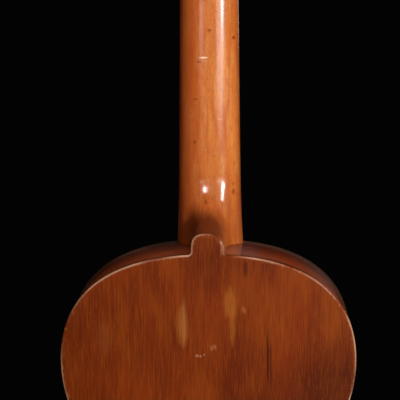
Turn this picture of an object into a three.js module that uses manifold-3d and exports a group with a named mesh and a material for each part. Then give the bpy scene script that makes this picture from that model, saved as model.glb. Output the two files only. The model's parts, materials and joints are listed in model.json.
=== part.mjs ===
// Small-bodied guitar with a slotted head, standing upright.
// Millimetres, +Z up along the neck. The soundboard faces -Y, the back faces +Y
// and the bass side is -X. The origin is the centre of the end pin's outer face.

import * as THREE from 'three';
import { mergeVertices } from 'three/addons/utils/BufferGeometryUtils.js';
import Module from 'manifold-3d';

const wasm = await Module();
wasm.setup();

// Body sizes
const body_length = 455;
const lower_bout_width = 318;
const waist_width = 190;
const upper_bout_width = 236;
const lower_bout_height = 110;
const waist_height = 270;
const upper_bout_drop = 84;
const tail_depth = 92;
const shoulder_depth = 82;
const back_radius_across = 2400;
const back_radius_along = 6000;

// Plates and ribs
const soundboard_thickness = 2.8;
const back_thickness = 3;
const rib_thickness = 2;
const plate_overhang = 1.5;
const sound_hole_diameter = 84;
const rosette_width = 8;
const rosette_margin = 5;
const rosette_thickness = 1;

// Heel button, one piece with the back
const button_width = 27;
const button_height = 19.3;
const button_fillet = 3;
const button_arc_power = 2.35;

// Inside the box
const lining_width = 6;
const lining_height = 14;
const lining_thin_edge = 2;
const neck_block_width = 70;
const neck_block_length = 26;
const end_block_width = 64;
const end_block_length = 14;
const top_bar_width = 8;
const top_bar_height = 15;
const top_bar_end_height = 5;
const back_bar_width = 8;
const back_bar_height = 13;
const back_bar_end_height = 5;
const bar_scoop_length = 46;
const hole_bar_margin = 14;
const upper_face_bar_rise = 50;
const bridge_plate_length = 168;
const bridge_plate_width = 36;
const bridge_plate_thickness = 2.5;

// Neck, heel and fretboard
const scale_length = 630;
const fret_count = 18;
const body_fret = 12;
const nut_width = 47.2;
const body_join_width = 53;
const neck_depth_at_nut = 15.5;
const neck_depth_at_heel = 17;
const heel_start = 58;
const heel_flank_depth = 40;
const heel_shelf = 6;
const tenon_width = 17;
const tenon_flare = 3;
const tenon_length = 18;
const tenon_stop = 16;
const fretboard_thickness = 5;
const fretboard_end_margin = 2.7;
const sound_hole_margin = 3;
const fret_width = 2;
const fret_height = 1;
const nut_length = 5;
const nut_proud = 0.3;

// Head and its veneer
const head_tilt_degrees = 12;
const head_length = 168;
const head_width = 70;
const head_thickness = 17;
const head_flare = 13;
const head_corner = 14;
const veneer_thickness = 1.5;
const slot_width = 15;
const slot_start = 17;
const slot_end_margin = 17;
const slot_ramp = 8;
const slot_ramp_depth = 5;
const centre_rib_width = 12;

// Tuning machines, three on each plate
const first_roller_rise = 45;
const roller_spacing = 35;
const roller_radius = 3.2;
const roller_bearing_depth = 4.5;
const gear_teeth = 14;
const thread_pitch = 2.4;
const gear_width = 2.6;
const gear_tooth_rise = 0.6;
const gear_tooth_fall = 0.85;
const gear_tip_land = 0.55;
const gear_root_land = 1.25;
const worm_pitch_radius = 2.6;
const worm_ridge_rise = 0.7;
const worm_ridge_fall = 0.7;
const worm_tip_land = 0.4;
const worm_root_land = 1;
const worm_sink = 0.2;
const worm_stand_off = 4;
const worm_length = 9.6;
const worm_shaft_radius = 1.5;
const tuner_plate_thickness = 1.2;
const tuner_plate_height = 14.6;
const tuner_plate_margin = 11;
const lug_spacing = 13;
const lug_thickness = 1.5;
const lug_width = 6.4;
const lug_wall = 1.6;
const gear_screw_radius = 2.4;
const gear_screw_height = 1.1;
const knob_stand_off = 4;
const knob_length = 17;
const knob_width = 15;
const knob_thickness = 8;
const knob_socket = 5;

// Bridge, saddle, pins and strings
const bridge_length = 150;
const bridge_width = 25;
const bridge_height = 8.5;
const bridge_wing_height = 3.5;
const bridge_centre_length = 84;
const bridge_edge_round = 4;
const saddle_set_back = 6;
const saddle_length = 66;
const saddle_thickness = 2.6;
const saddle_depth = 5;
const saddle_proud = 2.6;
const pin_set_back = 12;
const pin_top_radius = 2.7;
const pin_tip_radius = 2.1;
const pin_length = 19;
const pin_head_radius = 3.8;
const pin_head_height = 3.6;
const pin_flute = 1.7;
const string_spread_at_nut = 39;
const string_spread_at_saddle = 56;
const string_clearance_at_nut = 0.5;
const thickest_string = 1.1;
const string_gauge_shares = [0.64, 0.73, 0.93, 0.68, 0.82, 1];
const roller_string_place_shares = [0.7, 0.5, 0.46];

// End pin
const end_pin_proud = 12;
const end_pin_face_radius = 5;
const end_pin_head_radius = 7;
const end_pin_neck_radius = 4.2;
const end_pin_shaft_radius = 3.5;
const end_pin_edge = 1.5;

// Fits
const glue_gap = 0.3;
const running_gap = 0.3;
const overrun = 5;
const weld_distance = 0.0001;

// Outline handles, as shares of the box that each curve fills
const outline_steps = 8;
const tail_handle_share = 0.6;
const lower_bout_handle_share = 0.55;
const waist_handle_share = 0.42;
const upper_bout_handle_share = 0.61;
const shoulder_handle_share = 0.69;

// Roundness of the neck, hollow of the heel's flanks and other shares of a piece's own sizes
const neck_section_power = 0.85;
const heel_flank_power = 1.6;
const heel_depth_shares = [0, 0.05, 0.11, 0.18, 0.26, 0.36, 0.48, 0.62, 0.8, 1];
const flare_shares = [0, 0.35, 0.7, 1];
const flare_board_shares = [0.1, 0.45, 0.8, 1];
const corner_angle_shares = [0, 0.33, 0.67, 1];
const scarf_run_share = 1.3;
const plate_ring_shares = [0.06, 0.6, 1];
const lower_face_bar_place_share = 0.69;
const back_bar_place_shares = [0.83, 0.61, 0.38, 0.17];
const bridge_round_share = 0.35;
const saddle_top_share = 0.4;
const fret_profile_shares = [[-0.4, -1], [-0.4, 1], [0.6, 0.75], [1, 0], [0.6, -0.75]];
const pin_head_shares = [[0, 1], [0.6, 1], [1, 0.6], [1, 0.35]];
const pin_flute_end_share = 0.6;
// A knob's ring by ring: its place along, its width and its thickness
const knob_shares = [[0, 0.35, 0.55], [0.12, 0.5, 0.55], [0.3, 0.86, 0.86], [0.52, 1, 1],
  [0.76, 0.88, 0.88], [0.92, 0.55, 0.41], [1, 0.25, 0.25]];

// Counts of steps round curved pieces
const section_steps = 8;
const arc_steps = 5;
const fillet_steps = 3;
const turned_steps = 12;
const hole_steps = 10;
const pin_steps = 8;
const sound_hole_steps = 32;
const thread_steps_a_turn = 8;
const string_count = 6;
const string_sides = 8;
const roller_count = 3;

// Places that follow from the sizes
const tail_z = end_pin_proud;
const shoulder_z = tail_z + body_length;
const soundboard_y = -tail_depth / 2;
const half_scale_to_body = scale_length * 2 ** (-body_fret / 12);
const saddle_z = shoulder_z - half_scale_to_body;
const nut_z = saddle_z + scale_length;
const fretZ = (fret) => nut_z - scale_length * (1 - 2 ** (-fret / 12));
const fretboard_end_z = fretZ(fret_count) - fretboard_end_margin;
const sound_hole_z = fretboard_end_z - sound_hole_margin - sound_hole_diameter / 2;
const bridge_z = saddle_z + saddle_set_back - bridge_width / 2;
const bridge_plate_low_z = bridge_z - bridge_plate_width / 2;
const fretboard_y = soundboard_y - fretboard_thickness;
const bridge_top_y = soundboard_y - bridge_height;
const saddle_top_y = bridge_top_y - saddle_proud;
const head_tilt = THREE.MathUtils.degToRad(head_tilt_degrees);
const gear_pitch_radius = (gear_teeth * thread_pitch) / (2 * Math.PI);
const worm_centre_distance = gear_pitch_radius + worm_pitch_radius;
const roller_depth = head_thickness / 2;
const slot_centre_x = (centre_rib_width + slot_width) / 2;
const last_roller_rise = first_roller_rise + (roller_count - 1) * roller_spacing;
const knob_start_y = head_thickness + knob_stand_off;

// Finishes
const finish = (color, roughness, metalness = 0) =>
  new THREE.MeshStandardMaterial({ color, roughness, metalness });
const back_wood = finish(0x8a4a1c, 0.35);
const rib_wood = finish(0x6b3416, 0.35);
const neck_wood = finish(0xb86a34, 0.28);
const soundboard_wood = finish(0xc98f4c, 0.4);
const inner_wood = finish(0xd8b98a, 0.7);
const dark_wood = finish(0x2b1a12, 0.45);
const bone = finish(0xe9dfc6, 0.4);
const inlay = finish(0x3a2a1c, 0.4);
const gut = finish(0xd9c9a0, 0.4);
const wound_silver = finish(0xb5b0a6, 0.35, 0.8);
const tuner_metal = finish(0xa89a78, 0.4, 0.9);

// Solids from plain geometry, joined and cut

function solidOf(geometry) {
  const bare = geometry.clone();
  bare.deleteAttribute('normal');
  bare.deleteAttribute('uv');
  const merged = mergeVertices(bare, weld_distance);
  const mesh = new wasm.Mesh({
    numProp: 3,
    vertProperties: new Float32Array(merged.attributes.position.array),
    triVerts: new Uint32Array(merged.index.array),
  });
  return new wasm.Manifold(mesh);
}

function geometryOf(solid) {
  const mesh = solid.getMesh();
  const geometry = new THREE.BufferGeometry();
  geometry.setAttribute('position', new THREE.BufferAttribute(mesh.vertProperties, 3));
  geometry.setIndex(new THREE.BufferAttribute(mesh.triVerts, 1));
  return geometry;
}

const cut = (body, ...tools) =>
  geometryOf(tools.reduce((rest, tool) => rest.subtract(solidOf(tool)), solidOf(body)));
const join = (first, ...others) =>
  geometryOf(others.reduce((whole, other) => whole.add(solidOf(other)), solidOf(first)));
const meet = (first, ...others) =>
  geometryOf(others.reduce((common, other) => common.intersect(solidOf(other)), solidOf(first)));

// A closed solid through rings of points, each ring with as many points as the next.
// Each end is closed by a fan round the middle of its ring.
function loft(rings) {
  const count = rings[0].length;
  const positions = [];
  const index = [];
  rings.flat().forEach((point) => positions.push(point.x, point.y, point.z));
  for (let ring = 0; ring + 1 < rings.length; ring += 1) {
    for (let side = 0; side < count; side += 1) {
      const a = ring * count + side;
      const b = ring * count + ((side + 1) % count);
      index.push(a, b, b + count, a, b + count, a + count);
    }
  }
  const closeEnd = (ring, turned) => {
    const middle = new THREE.Vector3();
    rings[ring].forEach((point) => middle.addScaledVector(point, 1 / count));
    const centre = positions.length / 3;
    positions.push(middle.x, middle.y, middle.z);
    for (let side = 0; side < count; side += 1) {
      const a = ring * count + side;
      const b = ring * count + ((side + 1) % count);
      index.push(centre, turned ? b : a, turned ? a : b);
    }
  };
  closeEnd(0, true);
  closeEnd(rings.length - 1, false);
  const geometry = new THREE.BufferGeometry();
  geometry.setAttribute('position', new THREE.Float32BufferAttribute(positions, 3));
  geometry.setIndex(index);
  return faceOut(geometry);
}

// Turns the faces of a closed geometry over where they enclose a negative volume
function faceOut(geometry) {
  const index = Array.from(geometry.index.array);
  const places = geometry.attributes.position;
  const corner = (place) => new THREE.Vector3().fromBufferAttribute(places, index[place]);
  let volume = 0;
  for (let place = 0; place < index.length; place += 3) {
    volume += corner(place).dot(corner(place + 1).cross(corner(place + 2))) / 6;
  }
  geometry.setIndex(volume < 0 ? index.reverse() : index);
  return geometry;
}

// A box given by its lowest and highest corners
function block(x0, x1, y0, y1, z0, z1) {
  const box = new THREE.BoxGeometry(x1 - x0, y1 - y0, z1 - z0);
  return box.translate((x0 + x1) / 2, (y0 + y1) / 2, (z0 + z1) / 2);
}

// A flat shape in X and Z, extruded along Y
function slab(points, y0, y1) {
  const shape = new THREE.Shape(points);
  const solid = new THREE.ExtrudeGeometry(shape, { depth: y1 - y0, bevelEnabled: false });
  return solid.rotateX(Math.PI / 2).translate(0, y1, 0);
}

const x_axis = new THREE.Vector3(1, 0, 0);
const y_axis = new THREE.Vector3(0, 1, 0);
const z_axis = new THREE.Vector3(0, 0, 1);

// A flat shape in Y and Z, extruded along X
function barOf(points, x0, x1) {
  const solid = new THREE.ExtrudeGeometry(new THREE.Shape(points), { depth: x1 - x0, bevelEnabled: false });
  const onto = new THREE.Matrix4().makeBasis(y_axis, z_axis, x_axis);
  return solid.applyMatrix4(onto).translate(x0, 0, 0);
}
// A turned piece round the Z axis, from pairs of radius and height
function turned(profile, steps = turned_steps) {
  const points = profile.map(([radius, height]) => new THREE.Vector2(radius, height));
  return faceOut(new THREE.LatheGeometry(points, steps).rotateX(Math.PI / 2));
}

// A round hole's cutter along Z, wide enough that its flats clear the radius
function bore(radius, z0, z1, steps = hole_steps) {
  const reach = radius / Math.cos(Math.PI / steps);
  return turned([[0, z0], [reach, z0], [reach, z1], [0, z1]], steps);
}

const alongX = (geometry) => geometry.rotateY(Math.PI / 2);
const alongY = (geometry) => geometry.rotateX(-Math.PI / 2);

// Body outline and the arch of the back

// Half of the outline, from the middle of the tail up the treble side to the middle of
// the shoulder: four curves, moved in square to themselves by the inset
function halfOutline(inset) {
  const lower = new THREE.Vector2(lower_bout_width / 2, tail_z + lower_bout_height);
  const waist = new THREE.Vector2(waist_width / 2, tail_z + waist_height);
  const upper = new THREE.Vector2(upper_bout_width / 2, shoulder_z - upper_bout_drop);
  const tail = new THREE.Vector2(0, tail_z);
  const shoulder = new THREE.Vector2(0, shoulder_z);
  const stem = (from, to, share) => from.clone().setY(from.y + (to.y - from.y) * share);
  const reach = (from, to, share) => from.clone().setX(from.x + (to.x - from.x) * share);
  const curves = [
    [tail, reach(tail, lower, tail_handle_share), stem(lower, tail, lower_bout_handle_share), lower],
    [lower, stem(lower, waist, lower_bout_handle_share), stem(waist, lower, waist_handle_share), waist],
    [waist, stem(waist, upper, waist_handle_share), stem(upper, waist, waist_handle_share), upper],
    [upper, stem(upper, shoulder, upper_bout_handle_share), reach(shoulder, upper, shoulder_handle_share),
      shoulder],
  ].map((points) => new THREE.CubicBezierCurve(...points));
  const points = [];
  curves.forEach((curve, place) => {
    for (let step = place === 0 ? 0 : 1; step <= outline_steps; step += 1) {
      const along = curve.getTangent(step / outline_steps);
      const inward = new THREE.Vector2(-along.y, along.x);
      points.push(curve.getPoint(step / outline_steps).addScaledVector(inward, inset));
    }
  });
  points[0].setX(0);
  points[points.length - 1].setX(0);
  return points;
}

function fullOutline(half) {
  const mirrored = half.slice(1, -1).reverse();
  return [...half, ...mirrored.map((point) => new THREE.Vector2(-point.x, point.y))];
}

// The button's top on a unit half width and rise: an arc a little squarer than a circle
function buttonArc(angle) {
  const power = 2 / button_arc_power;
  const across = Math.cos(angle);
  const up = Math.abs(Math.sin(angle));
  return new THREE.Vector2(Math.sign(across) * Math.abs(across) ** power, up ** power);
}

// The back's outline, with the button standing up from the shoulder
function backHalfOutline() {
  const half = halfOutline(-plate_overhang);
  const radius = button_width / 2;
  const foot = radius + button_fillet;
  const last = half.findLastIndex((point) => point.x > foot && point.y > shoulder_z - upper_bout_drop);
  const before = half[last];
  const after = half[last + 1];
  const share = (before.x - foot) / (before.x - after.x);
  const foot_z = before.y + (after.y - before.y) * share;
  const button = [new THREE.Vector2(foot, foot_z)];
  const fillet_middle = new THREE.Vector2(foot, foot_z + button_fillet);
  const quarter = Math.PI / 2;
  for (let step = 1; step <= fillet_steps; step += 1) {
    const angle = quarter * (1 + step / fillet_steps);
    const spoke = new THREE.Vector2(Math.cos(angle), -Math.sin(angle));
    button.push(fillet_middle.clone().addScaledVector(spoke, button_fillet));
  }
  const middle = new THREE.Vector2(0, shoulder_z + button_height - radius);
  for (let step = 0; step <= arc_steps; step += 1) {
    button.push(middle.clone().addScaledVector(buttonArc((quarter * step) / arc_steps), radius));
  }
  button[button.length - 1].setX(0);
  return [...half.slice(0, last + 1), ...button];
}

// Outer face of the back: depth tapers from tail to shoulder, arched both ways
function backOuter(x, z) {
  const height = z - tail_z;
  const half_length = body_length / 2;
  const depth = tail_depth + ((shoulder_depth - tail_depth) * height) / body_length;
  const arch_along = (half_length ** 2 - (height - half_length) ** 2) / (2 * back_radius_along);
  return soundboard_y + depth + arch_along - x ** 2 / (2 * back_radius_across);
}
const backInner = (x, z) => backOuter(x, z) - back_thickness;

// An arched solid between two faces over an outline, in rings that close on its middle
function archedPlate(outline, lowFace, highFace) {
  const centre = new THREE.Vector2(0, tail_z + body_length / 2);
  const ringAt = (share, face) =>
    outline.map((point) => {
      const x = point.x * share;
      const z = centre.y + (point.y - centre.y) * share;
      return new THREE.Vector3(x, face(x, z), z);
    });
  const low = plate_ring_shares.map((share) => ringAt(share, lowFace));
  const high = plate_ring_shares.map((share) => ringAt(share, highFace));
  return loft([...low, ...high.reverse()]);
}

const soundboard_inner_y = soundboard_y + soundboard_thickness;
const insideFront = () => soundboard_inner_y + glue_gap;
const insideBack = (x, z) => backInner(x, z) - glue_gap;

// The air in the box, drawn in from the outline
const airInside = (inset) => archedPlate(fullOutline(halfOutline(inset)), insideFront, insideBack);
const rib_air = airInside(rib_thickness + glue_gap);
const bar_air = airInside(rib_thickness + lining_width + 2 * glue_gap);

// A strip that follows the treble side of the outline; each section has four corners
function sideStrip(corners) {
  const edges = corners.map(([inset]) => halfOutline(inset));
  const rings = edges[0].map((_, step) =>
    corners.map(([, faceY], corner) => {
      const point = edges[corner][step];
      const x = step === 0 || step === edges[0].length - 1 ? glue_gap / 2 : point.x;
      return new THREE.Vector3(x, faceY(point.x, point.y), point.y);
    }));
  return loft(rings);
}

const mirrorX = (geometry) => faceOut(geometry.clone().scale(-1, 1, 1));

// The box: soundboard, back, ribs, linings, blocks and bars

const guitar = new THREE.Group();

function addTo(group, name, geometry, material) {
  const mesh = new THREE.Mesh(geometry, material);
  mesh.name = name;
  group.add(mesh);
  return mesh;
}
const add = (name, geometry, material) => addTo(guitar, name, geometry, material);

// The heel's dovetail, wider at its foot, let into the shoulder by a clearance
function dovetail(clearance) {
  const top = tenon_width / 2 + clearance;
  const foot = top + tenon_flare;
  const foot_z = shoulder_z - rib_thickness - tenon_length - clearance;
  const top_z = shoulder_z + heel_shelf;
  const section = [[foot, foot_z], [top, shoulder_z], [top, top_z], [-top, top_z], [-top, shoulder_z],
    [-foot, foot_z]].map(([x, z]) => new THREE.Vector2(x, z));
  const stop_y = insideBack(0, shoulder_z) - tenon_stop + clearance;
  return slab(section, soundboard_y - (clearance > 0 ? overrun : 0), stop_y);
}
const mortise = dovetail(glue_gap);

const hole_radius = sound_hole_diameter / 2;
const rosette_inner = hole_radius + rosette_margin;
const rosette_outer = rosette_inner + rosette_width;
const ringRound = (inner, outer, y0, y1, steps) =>
  turned([[inner, y0], [outer, y0], [outer, y1], [inner, y1], [inner, y0]], steps);
const atSoundHole = (geometry) => alongY(geometry).translate(0, soundboard_y, sound_hole_z);

// Six pins stand in a row behind the saddle
const stringX = (string, spread) => spread * (0.5 - string / (string_count - 1));
const strings = Array.from({ length: string_count }, (_, string) => string);
const pin_z = saddle_z - pin_set_back;
const pinX = (string) => stringX(string, string_spread_at_saddle);
const pin_holes = strings.map((string) =>
  alongY(bore(pin_top_radius + running_gap, -bridge_height - overrun, pin_length, pin_steps))
    .translate(pinX(string), soundboard_y, pin_z));

const soundboard_outline = fullOutline(halfOutline(-plate_overhang));
const soundboard = cut(
  slab(soundboard_outline, soundboard_y, soundboard_inner_y),
  atSoundHole(bore(hole_radius, -overrun, soundboard_thickness + overrun, sound_hole_steps)),
  atSoundHole(ringRound(rosette_inner - glue_gap, rosette_outer + glue_gap, -overrun,
    rosette_thickness + glue_gap, sound_hole_steps)),
  mortise,
  ...pin_holes,
);
add('soundboard', soundboard, soundboard_wood);
const rosette = ringRound(rosette_inner, rosette_outer, 0, rosette_thickness, sound_hole_steps);
add('rosette', atSoundHole(rosette), inlay);
add('back', archedPlate(fullOutline(backHalfOutline()), backInner, backOuter), back_wood);

const end_pin_hole = bore(end_pin_shaft_radius + running_gap, -overrun, tail_z + 2 * end_block_length);
const rib = cut(
  sideStrip([[0, insideFront], [rib_thickness, insideFront], [rib_thickness, insideBack], [0, insideBack]]),
  mortise,
  end_pin_hole,
);
add('rib_treble', rib, rib_wood);
add('rib_bass', mirrorX(rib), rib_wood);

const blockSpace = (width, z0, z1) =>
  block(-width / 2, width / 2, soundboard_y, soundboard_y + tail_depth + overrun, z0, z1);
const neck_block_z = shoulder_z - rib_thickness - neck_block_length;
const end_block_z = tail_z + rib_thickness + end_block_length;
const neck_block = cut(
  meet(blockSpace(neck_block_width, neck_block_z, shoulder_z), rib_air),
  mortise,
);
const end_block = cut(meet(blockSpace(end_block_width, tail_z, end_block_z), rib_air), end_pin_hole);
add('neck_block', neck_block, inner_wood);
add('end_block', end_block, inner_wood);

// A lining is thick where it is glued to its plate and thin at its free edge
const lining_face = rib_thickness + glue_gap;
const block_rooms = [
  blockSpace(neck_block_width + 2 * glue_gap, neck_block_z - overrun, shoulder_z),
  blockSpace(end_block_width + 2 * glue_gap, tail_z, end_block_z + overrun),
];
const freeTop = () => insideFront() + lining_height;
const freeBack = (x, z) => insideBack(x, z) - lining_height;
const lining = (plateFace, freeFace) =>
  cut(sideStrip([[lining_face, plateFace], [lining_face + lining_width, plateFace],
    [lining_face + lining_thin_edge, freeFace], [lining_face, freeFace]]), ...block_rooms);
const top_lining = lining(insideFront, freeTop);
const back_lining = lining(insideBack, freeBack);
add('top_lining_treble', top_lining, inner_wood);
add('top_lining_bass', mirrorX(top_lining), inner_wood);
add('back_lining_treble', back_lining, inner_wood);
add('back_lining_bass', mirrorX(back_lining), inner_wood);

// A bar lies across a plate, stands into the box on its inner side, which is +Y or -Y,
// and is scooped down to thin ends at the linings
function scoopedBar(reach, height, end_height, width, z, inner_side) {
  const profile = [[-reach, 0], [reach, 0], [reach, end_height], [reach - bar_scoop_length, height],
    [bar_scoop_length - reach, height], [-reach, end_height]];
  const shape = new THREE.Shape(profile.map(([x, y]) => new THREE.Vector2(x, y * inner_side)));
  const solid = new THREE.ExtrudeGeometry(shape, { depth: width, bevelEnabled: false });
  return solid.translate(0, 0, z - width / 2);
}

// Half the room that a bar has at its height in the box
function reachAt(z) {
  const half = halfOutline(rib_thickness + lining_width + 2 * glue_gap);
  const next = half.findIndex((point) => point.y > z);
  const share = (z - half[next - 1].y) / (half[next].y - half[next - 1].y);
  return half[next - 1].x + (half[next].x - half[next - 1].x) * share;
}

const top_bar_places = [
  sound_hole_z + hole_radius + hole_bar_margin,
  sound_hole_z - hole_radius - hole_bar_margin,
  saddle_z + upper_face_bar_rise,
  tail_z + (bridge_plate_low_z - tail_z) * lower_face_bar_place_share,
];
top_bar_places.forEach((z, place) => {
  const bar = scoopedBar(reachAt(z), top_bar_height, top_bar_end_height, top_bar_width, z, 1);
  const seated = meet(bar.translate(0, insideFront(), 0), bar_air);
  add(`top_bar_${place + 1}`, seated, inner_wood);
});

back_bar_place_shares.forEach((share, place) => {
  const z = tail_z + body_length * share;
  const reach = reachAt(z);
  const edge_drop = insideBack(0, z) - insideBack(reach, z);
  const end_height = back_bar_end_height + edge_drop;
  const bar = scoopedBar(reach, back_bar_height + edge_drop, end_height, back_bar_width, z, -1);
  const arched = meet(bar.translate(0, insideBack(0, z), 0), bar_air);
  add(`back_bar_${place + 1}`, arched, inner_wood);
});

const bridge_plate = cut(
  block(-bridge_plate_length / 2, bridge_plate_length / 2, insideFront(),
    insideFront() + bridge_plate_thickness, bridge_plate_low_z, bridge_plate_low_z + bridge_plate_width),
  ...pin_holes,
);
add('bridge_plate', bridge_plate, inner_wood);

const end_pin = turned([
  [0, 0],
  [end_pin_face_radius, 0],
  [end_pin_head_radius, end_pin_edge],
  [end_pin_head_radius, end_pin_proud / 2 - end_pin_edge],
  [end_pin_neck_radius, end_pin_proud / 2 + end_pin_edge],
  [end_pin_neck_radius + end_pin_edge, end_pin_proud - glue_gap],
  [end_pin_shaft_radius, end_pin_proud - glue_gap],
  [end_pin_shaft_radius, end_block_z],
  [0, end_block_z],
]);
add('end_pin', end_pin, dark_wood);

// Neck, heel and head

// Place and turn of the head: it leans back from the front edge of the nut
const head_origin = new THREE.Vector3(0, soundboard_y, nut_z + nut_length);
const headFrame = (target) => {
  target.position.copy(head_origin);
  target.rotation.x = -head_tilt;
  return target;
};
const head_frame = headFrame(new THREE.Object3D());
head_frame.updateMatrixWorld();
const toHead = (geometry) => geometry.clone().applyMatrix4(head_frame.matrixWorld.clone().invert());
const fromHead = (geometry) => geometry.clone().applyMatrix4(head_frame.matrixWorld);
const pointFromHead = (x, y, z) => new THREE.Vector3(x, y, z).applyMatrix4(head_frame.matrixWorld);

// Half sections from the front edge round to the middle of the back
const section_shares = Array.from({ length: section_steps + 1 }, (_, step) => step / section_steps);
const roundSection = (half_width, depth) =>
  section_shares.map((share) => {
    const angle = (share * Math.PI) / 2;
    const x = half_width * Math.cos(angle) ** neck_section_power;
    return [x, depth * Math.sin(angle) ** neck_section_power];
  });
const boardSection = (half_width, depth) =>
  section_shares.map((share) => [half_width * Math.min(1, 2 - 2 * share), depth * Math.min(1, 2 * share)]);
const mixSections = (one, other, share) =>
  one.map(([x, y], place) => [x + (other[place][0] - x) * share, y + (other[place][1] - y) * share]);
const wholeSection = (half, placePoint) => {
  const mirrored = half.slice(0, -1).reverse().map(([x, y]) => [-x, y]);
  return [...half, ...mirrored].map(([x, y]) => placePoint(x, y));
};

const widthAt = (z) =>
  nut_width + ((body_join_width - nut_width) * (nut_z - z)) / (nut_z - shoulder_z);
const depthAt = (z) =>
  neck_depth_at_nut
  + ((neck_depth_at_heel - neck_depth_at_nut) * (nut_z - z)) / (nut_z - shoulder_z - heel_start);

const shaftRing = (z) =>
  wholeSection(roundSection(widthAt(z) / 2, depthAt(z)), (x, y) => new THREE.Vector3(x, soundboard_y + y, z));
const shaft_start_z = shoulder_z - overrun;
const heel_start_z = shoulder_z + heel_start;
const shaft = loft([shaft_start_z, heel_start_z, nut_z].map(shaftRing));

// Above the nut the round neck grows into the flat board of the head
function headRing(rise, half_width, board_share) {
  const section = mixSections(
    roundSection(half_width, neck_depth_at_nut),
    boardSection(half_width, head_thickness),
    board_share,
  );
  return wholeSection(section, (x, y) => pointFromHead(x, y, rise));
}
const half_head = head_width / 2;
const half_nut = nut_width / 2;

// The head's outline: half widths and rises up the flare, then round the top corner
const flare_outline = flare_shares.map((share) => {
  const eased = share * share * (3 - 2 * share);
  return [half_nut + (half_head - half_nut) * eased, head_flare * share];
});
const corner_outline = corner_angle_shares.map((share) => {
  const angle = (share * Math.PI) / 2;
  return [half_head - head_corner * (1 - Math.cos(angle)), head_length - head_corner * (1 - Math.sin(angle))];
});
const flare_rings = flare_outline.map(([half_width, rise], place) =>
  headRing(rise, half_width, flare_board_shares[place]));
const crest_rings = corner_outline.map(([half_width, rise]) => headRing(rise, half_width, 1));
const head_foot_rings = [heel_start_z, nut_z - head_thickness / 2].map(shaftRing);
const head_blank = loft([...head_foot_rings, ...flare_rings, ...crest_rings]);

// The heel is a stack of tombstone shapes, tall at the front and as high as the button at the back
const heel_end_depth = backInner(0, shoulder_z) - soundboard_y + overrun;
const cap_half_width = button_width / 2 - glue_gap;
const cap_depth = backInner(0, shoulder_z) - soundboard_y;
function heelSlice(depth) {
  const flank = Math.max(0, 1 - depth / heel_flank_depth);
  const half_width = cap_half_width + (body_join_width / 2 - cap_half_width) * flank ** heel_flank_power;
  const deep_share = Math.min(1, (depth - neck_depth_at_heel / 2) / (cap_depth - neck_depth_at_heel / 2));
  const rise = button_height + (heel_start - button_height) * (1 - Math.sqrt(1 - (1 - deep_share) ** 2));
  const straight = Math.max(0, button_height - button_width / 2);
  const points = [];
  for (let step = 0; step <= 2 * section_steps; step += 1) {
    const arc = buttonArc((Math.PI * step) / (2 * section_steps));
    const z = shoulder_z + straight + (rise - straight) * arc.y;
    points.push(new THREE.Vector3(half_width * arc.x, soundboard_y + depth, z));
  }
  points.unshift(new THREE.Vector3(half_width, soundboard_y + depth, shaft_start_z));
  points.push(new THREE.Vector3(-half_width, soundboard_y + depth, shaft_start_z));
  return points;
}
const heel_front_depth = neck_depth_at_heel / 2;
const heel = loft(heel_depth_shares.map((share) =>
  heelSlice(heel_front_depth + (heel_end_depth - heel_front_depth) * share)));

const body_room = slab(fullOutline(halfOutline(-glue_gap)), soundboard_y - overrun,
  soundboard_y + tail_depth + overrun);
const soundboard_room = slab(fullOutline(halfOutline(-plate_overhang - glue_gap)), soundboard_y - overrun,
  soundboard_inner_y + glue_gap);
const back_room = archedPlate(fullOutline(halfOutline(-button_height - overrun)), insideBack,
  (x, z) => backOuter(x, z) + 2 * overrun);

// The head is scarfed on: its board runs down in front of the neck's long wedge and comes to
// a thin edge under the fretboard
const scarf_run = (scarf_run_share * head_thickness) / Math.sin(head_tilt);
const beforeScarf = (y) =>
  block(-head_width, head_width, -head_thickness, y, -scarf_run, head_length + overrun);
const neck_blank = cut(join(shaft, heel), body_room, soundboard_room, back_room,
  fromHead(beforeScarf(head_thickness + 2 * glue_gap)));
add('neck', join(neck_blank, dovetail(0)), neck_wood);

// Slots for the strings, with round ends and a ramp towards the nut
const slot_end = last_roller_rise + slot_end_margin;
function slotCutter(side) {
  const radius = slot_width / 2;
  const roundEnd = (middle_z, first_angle) =>
    Array.from({ length: arc_steps + 1 }, (_, step) => {
      const angle = first_angle + (Math.PI * step) / arc_steps;
      return new THREE.Vector2(radius * Math.cos(angle), middle_z + radius * Math.sin(angle));
    });
  const points = [...roundEnd(slot_end - radius, 0), ...roundEnd(slot_start + radius, Math.PI)];
  const slot = slab(points, -veneer_thickness - overrun, head_thickness + overrun);
  const ramp_end = slot_start + radius;
  const front = -veneer_thickness - overrun;
  const ramp_start = slot_start - slot_ramp;
  const ramp_section = [[front, ramp_start], [-veneer_thickness - glue_gap, ramp_start],
    [slot_ramp_depth, ramp_end], [front, ramp_end]].map(([y, z]) => new THREE.Vector2(y, z));
  const ramp = barOf(ramp_section, -radius, radius);
  return join(slot, ramp).translate(side * slot_centre_x, 0, 0);
}
const slots = [slotCutter(1), slotCutter(-1)];

const rollers = Array.from({ length: roller_count }, (_, place) => place);
const rollerRise = (place) => first_roller_rise + place * roller_spacing;
const roller_end_x = centre_rib_width / 2 - roller_bearing_depth;
const roller_holes = rollers.flatMap((place) => [1, -1].map((side) => {
  const hole = bore(roller_radius + running_gap, roller_end_x - running_gap, half_head + overrun);
  const placed = alongX(hole).translate(0, roller_depth, rollerRise(place));
  return side > 0 ? placed : mirrorX(placed);
}));

const headstock = cut(meet(toHead(head_blank), beforeScarf(head_thickness + glue_gap)), ...slots,
  ...roller_holes);
const head = headFrame(new THREE.Group());
guitar.add(head);
addTo(head, 'headstock', headstock, neck_wood);

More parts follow.
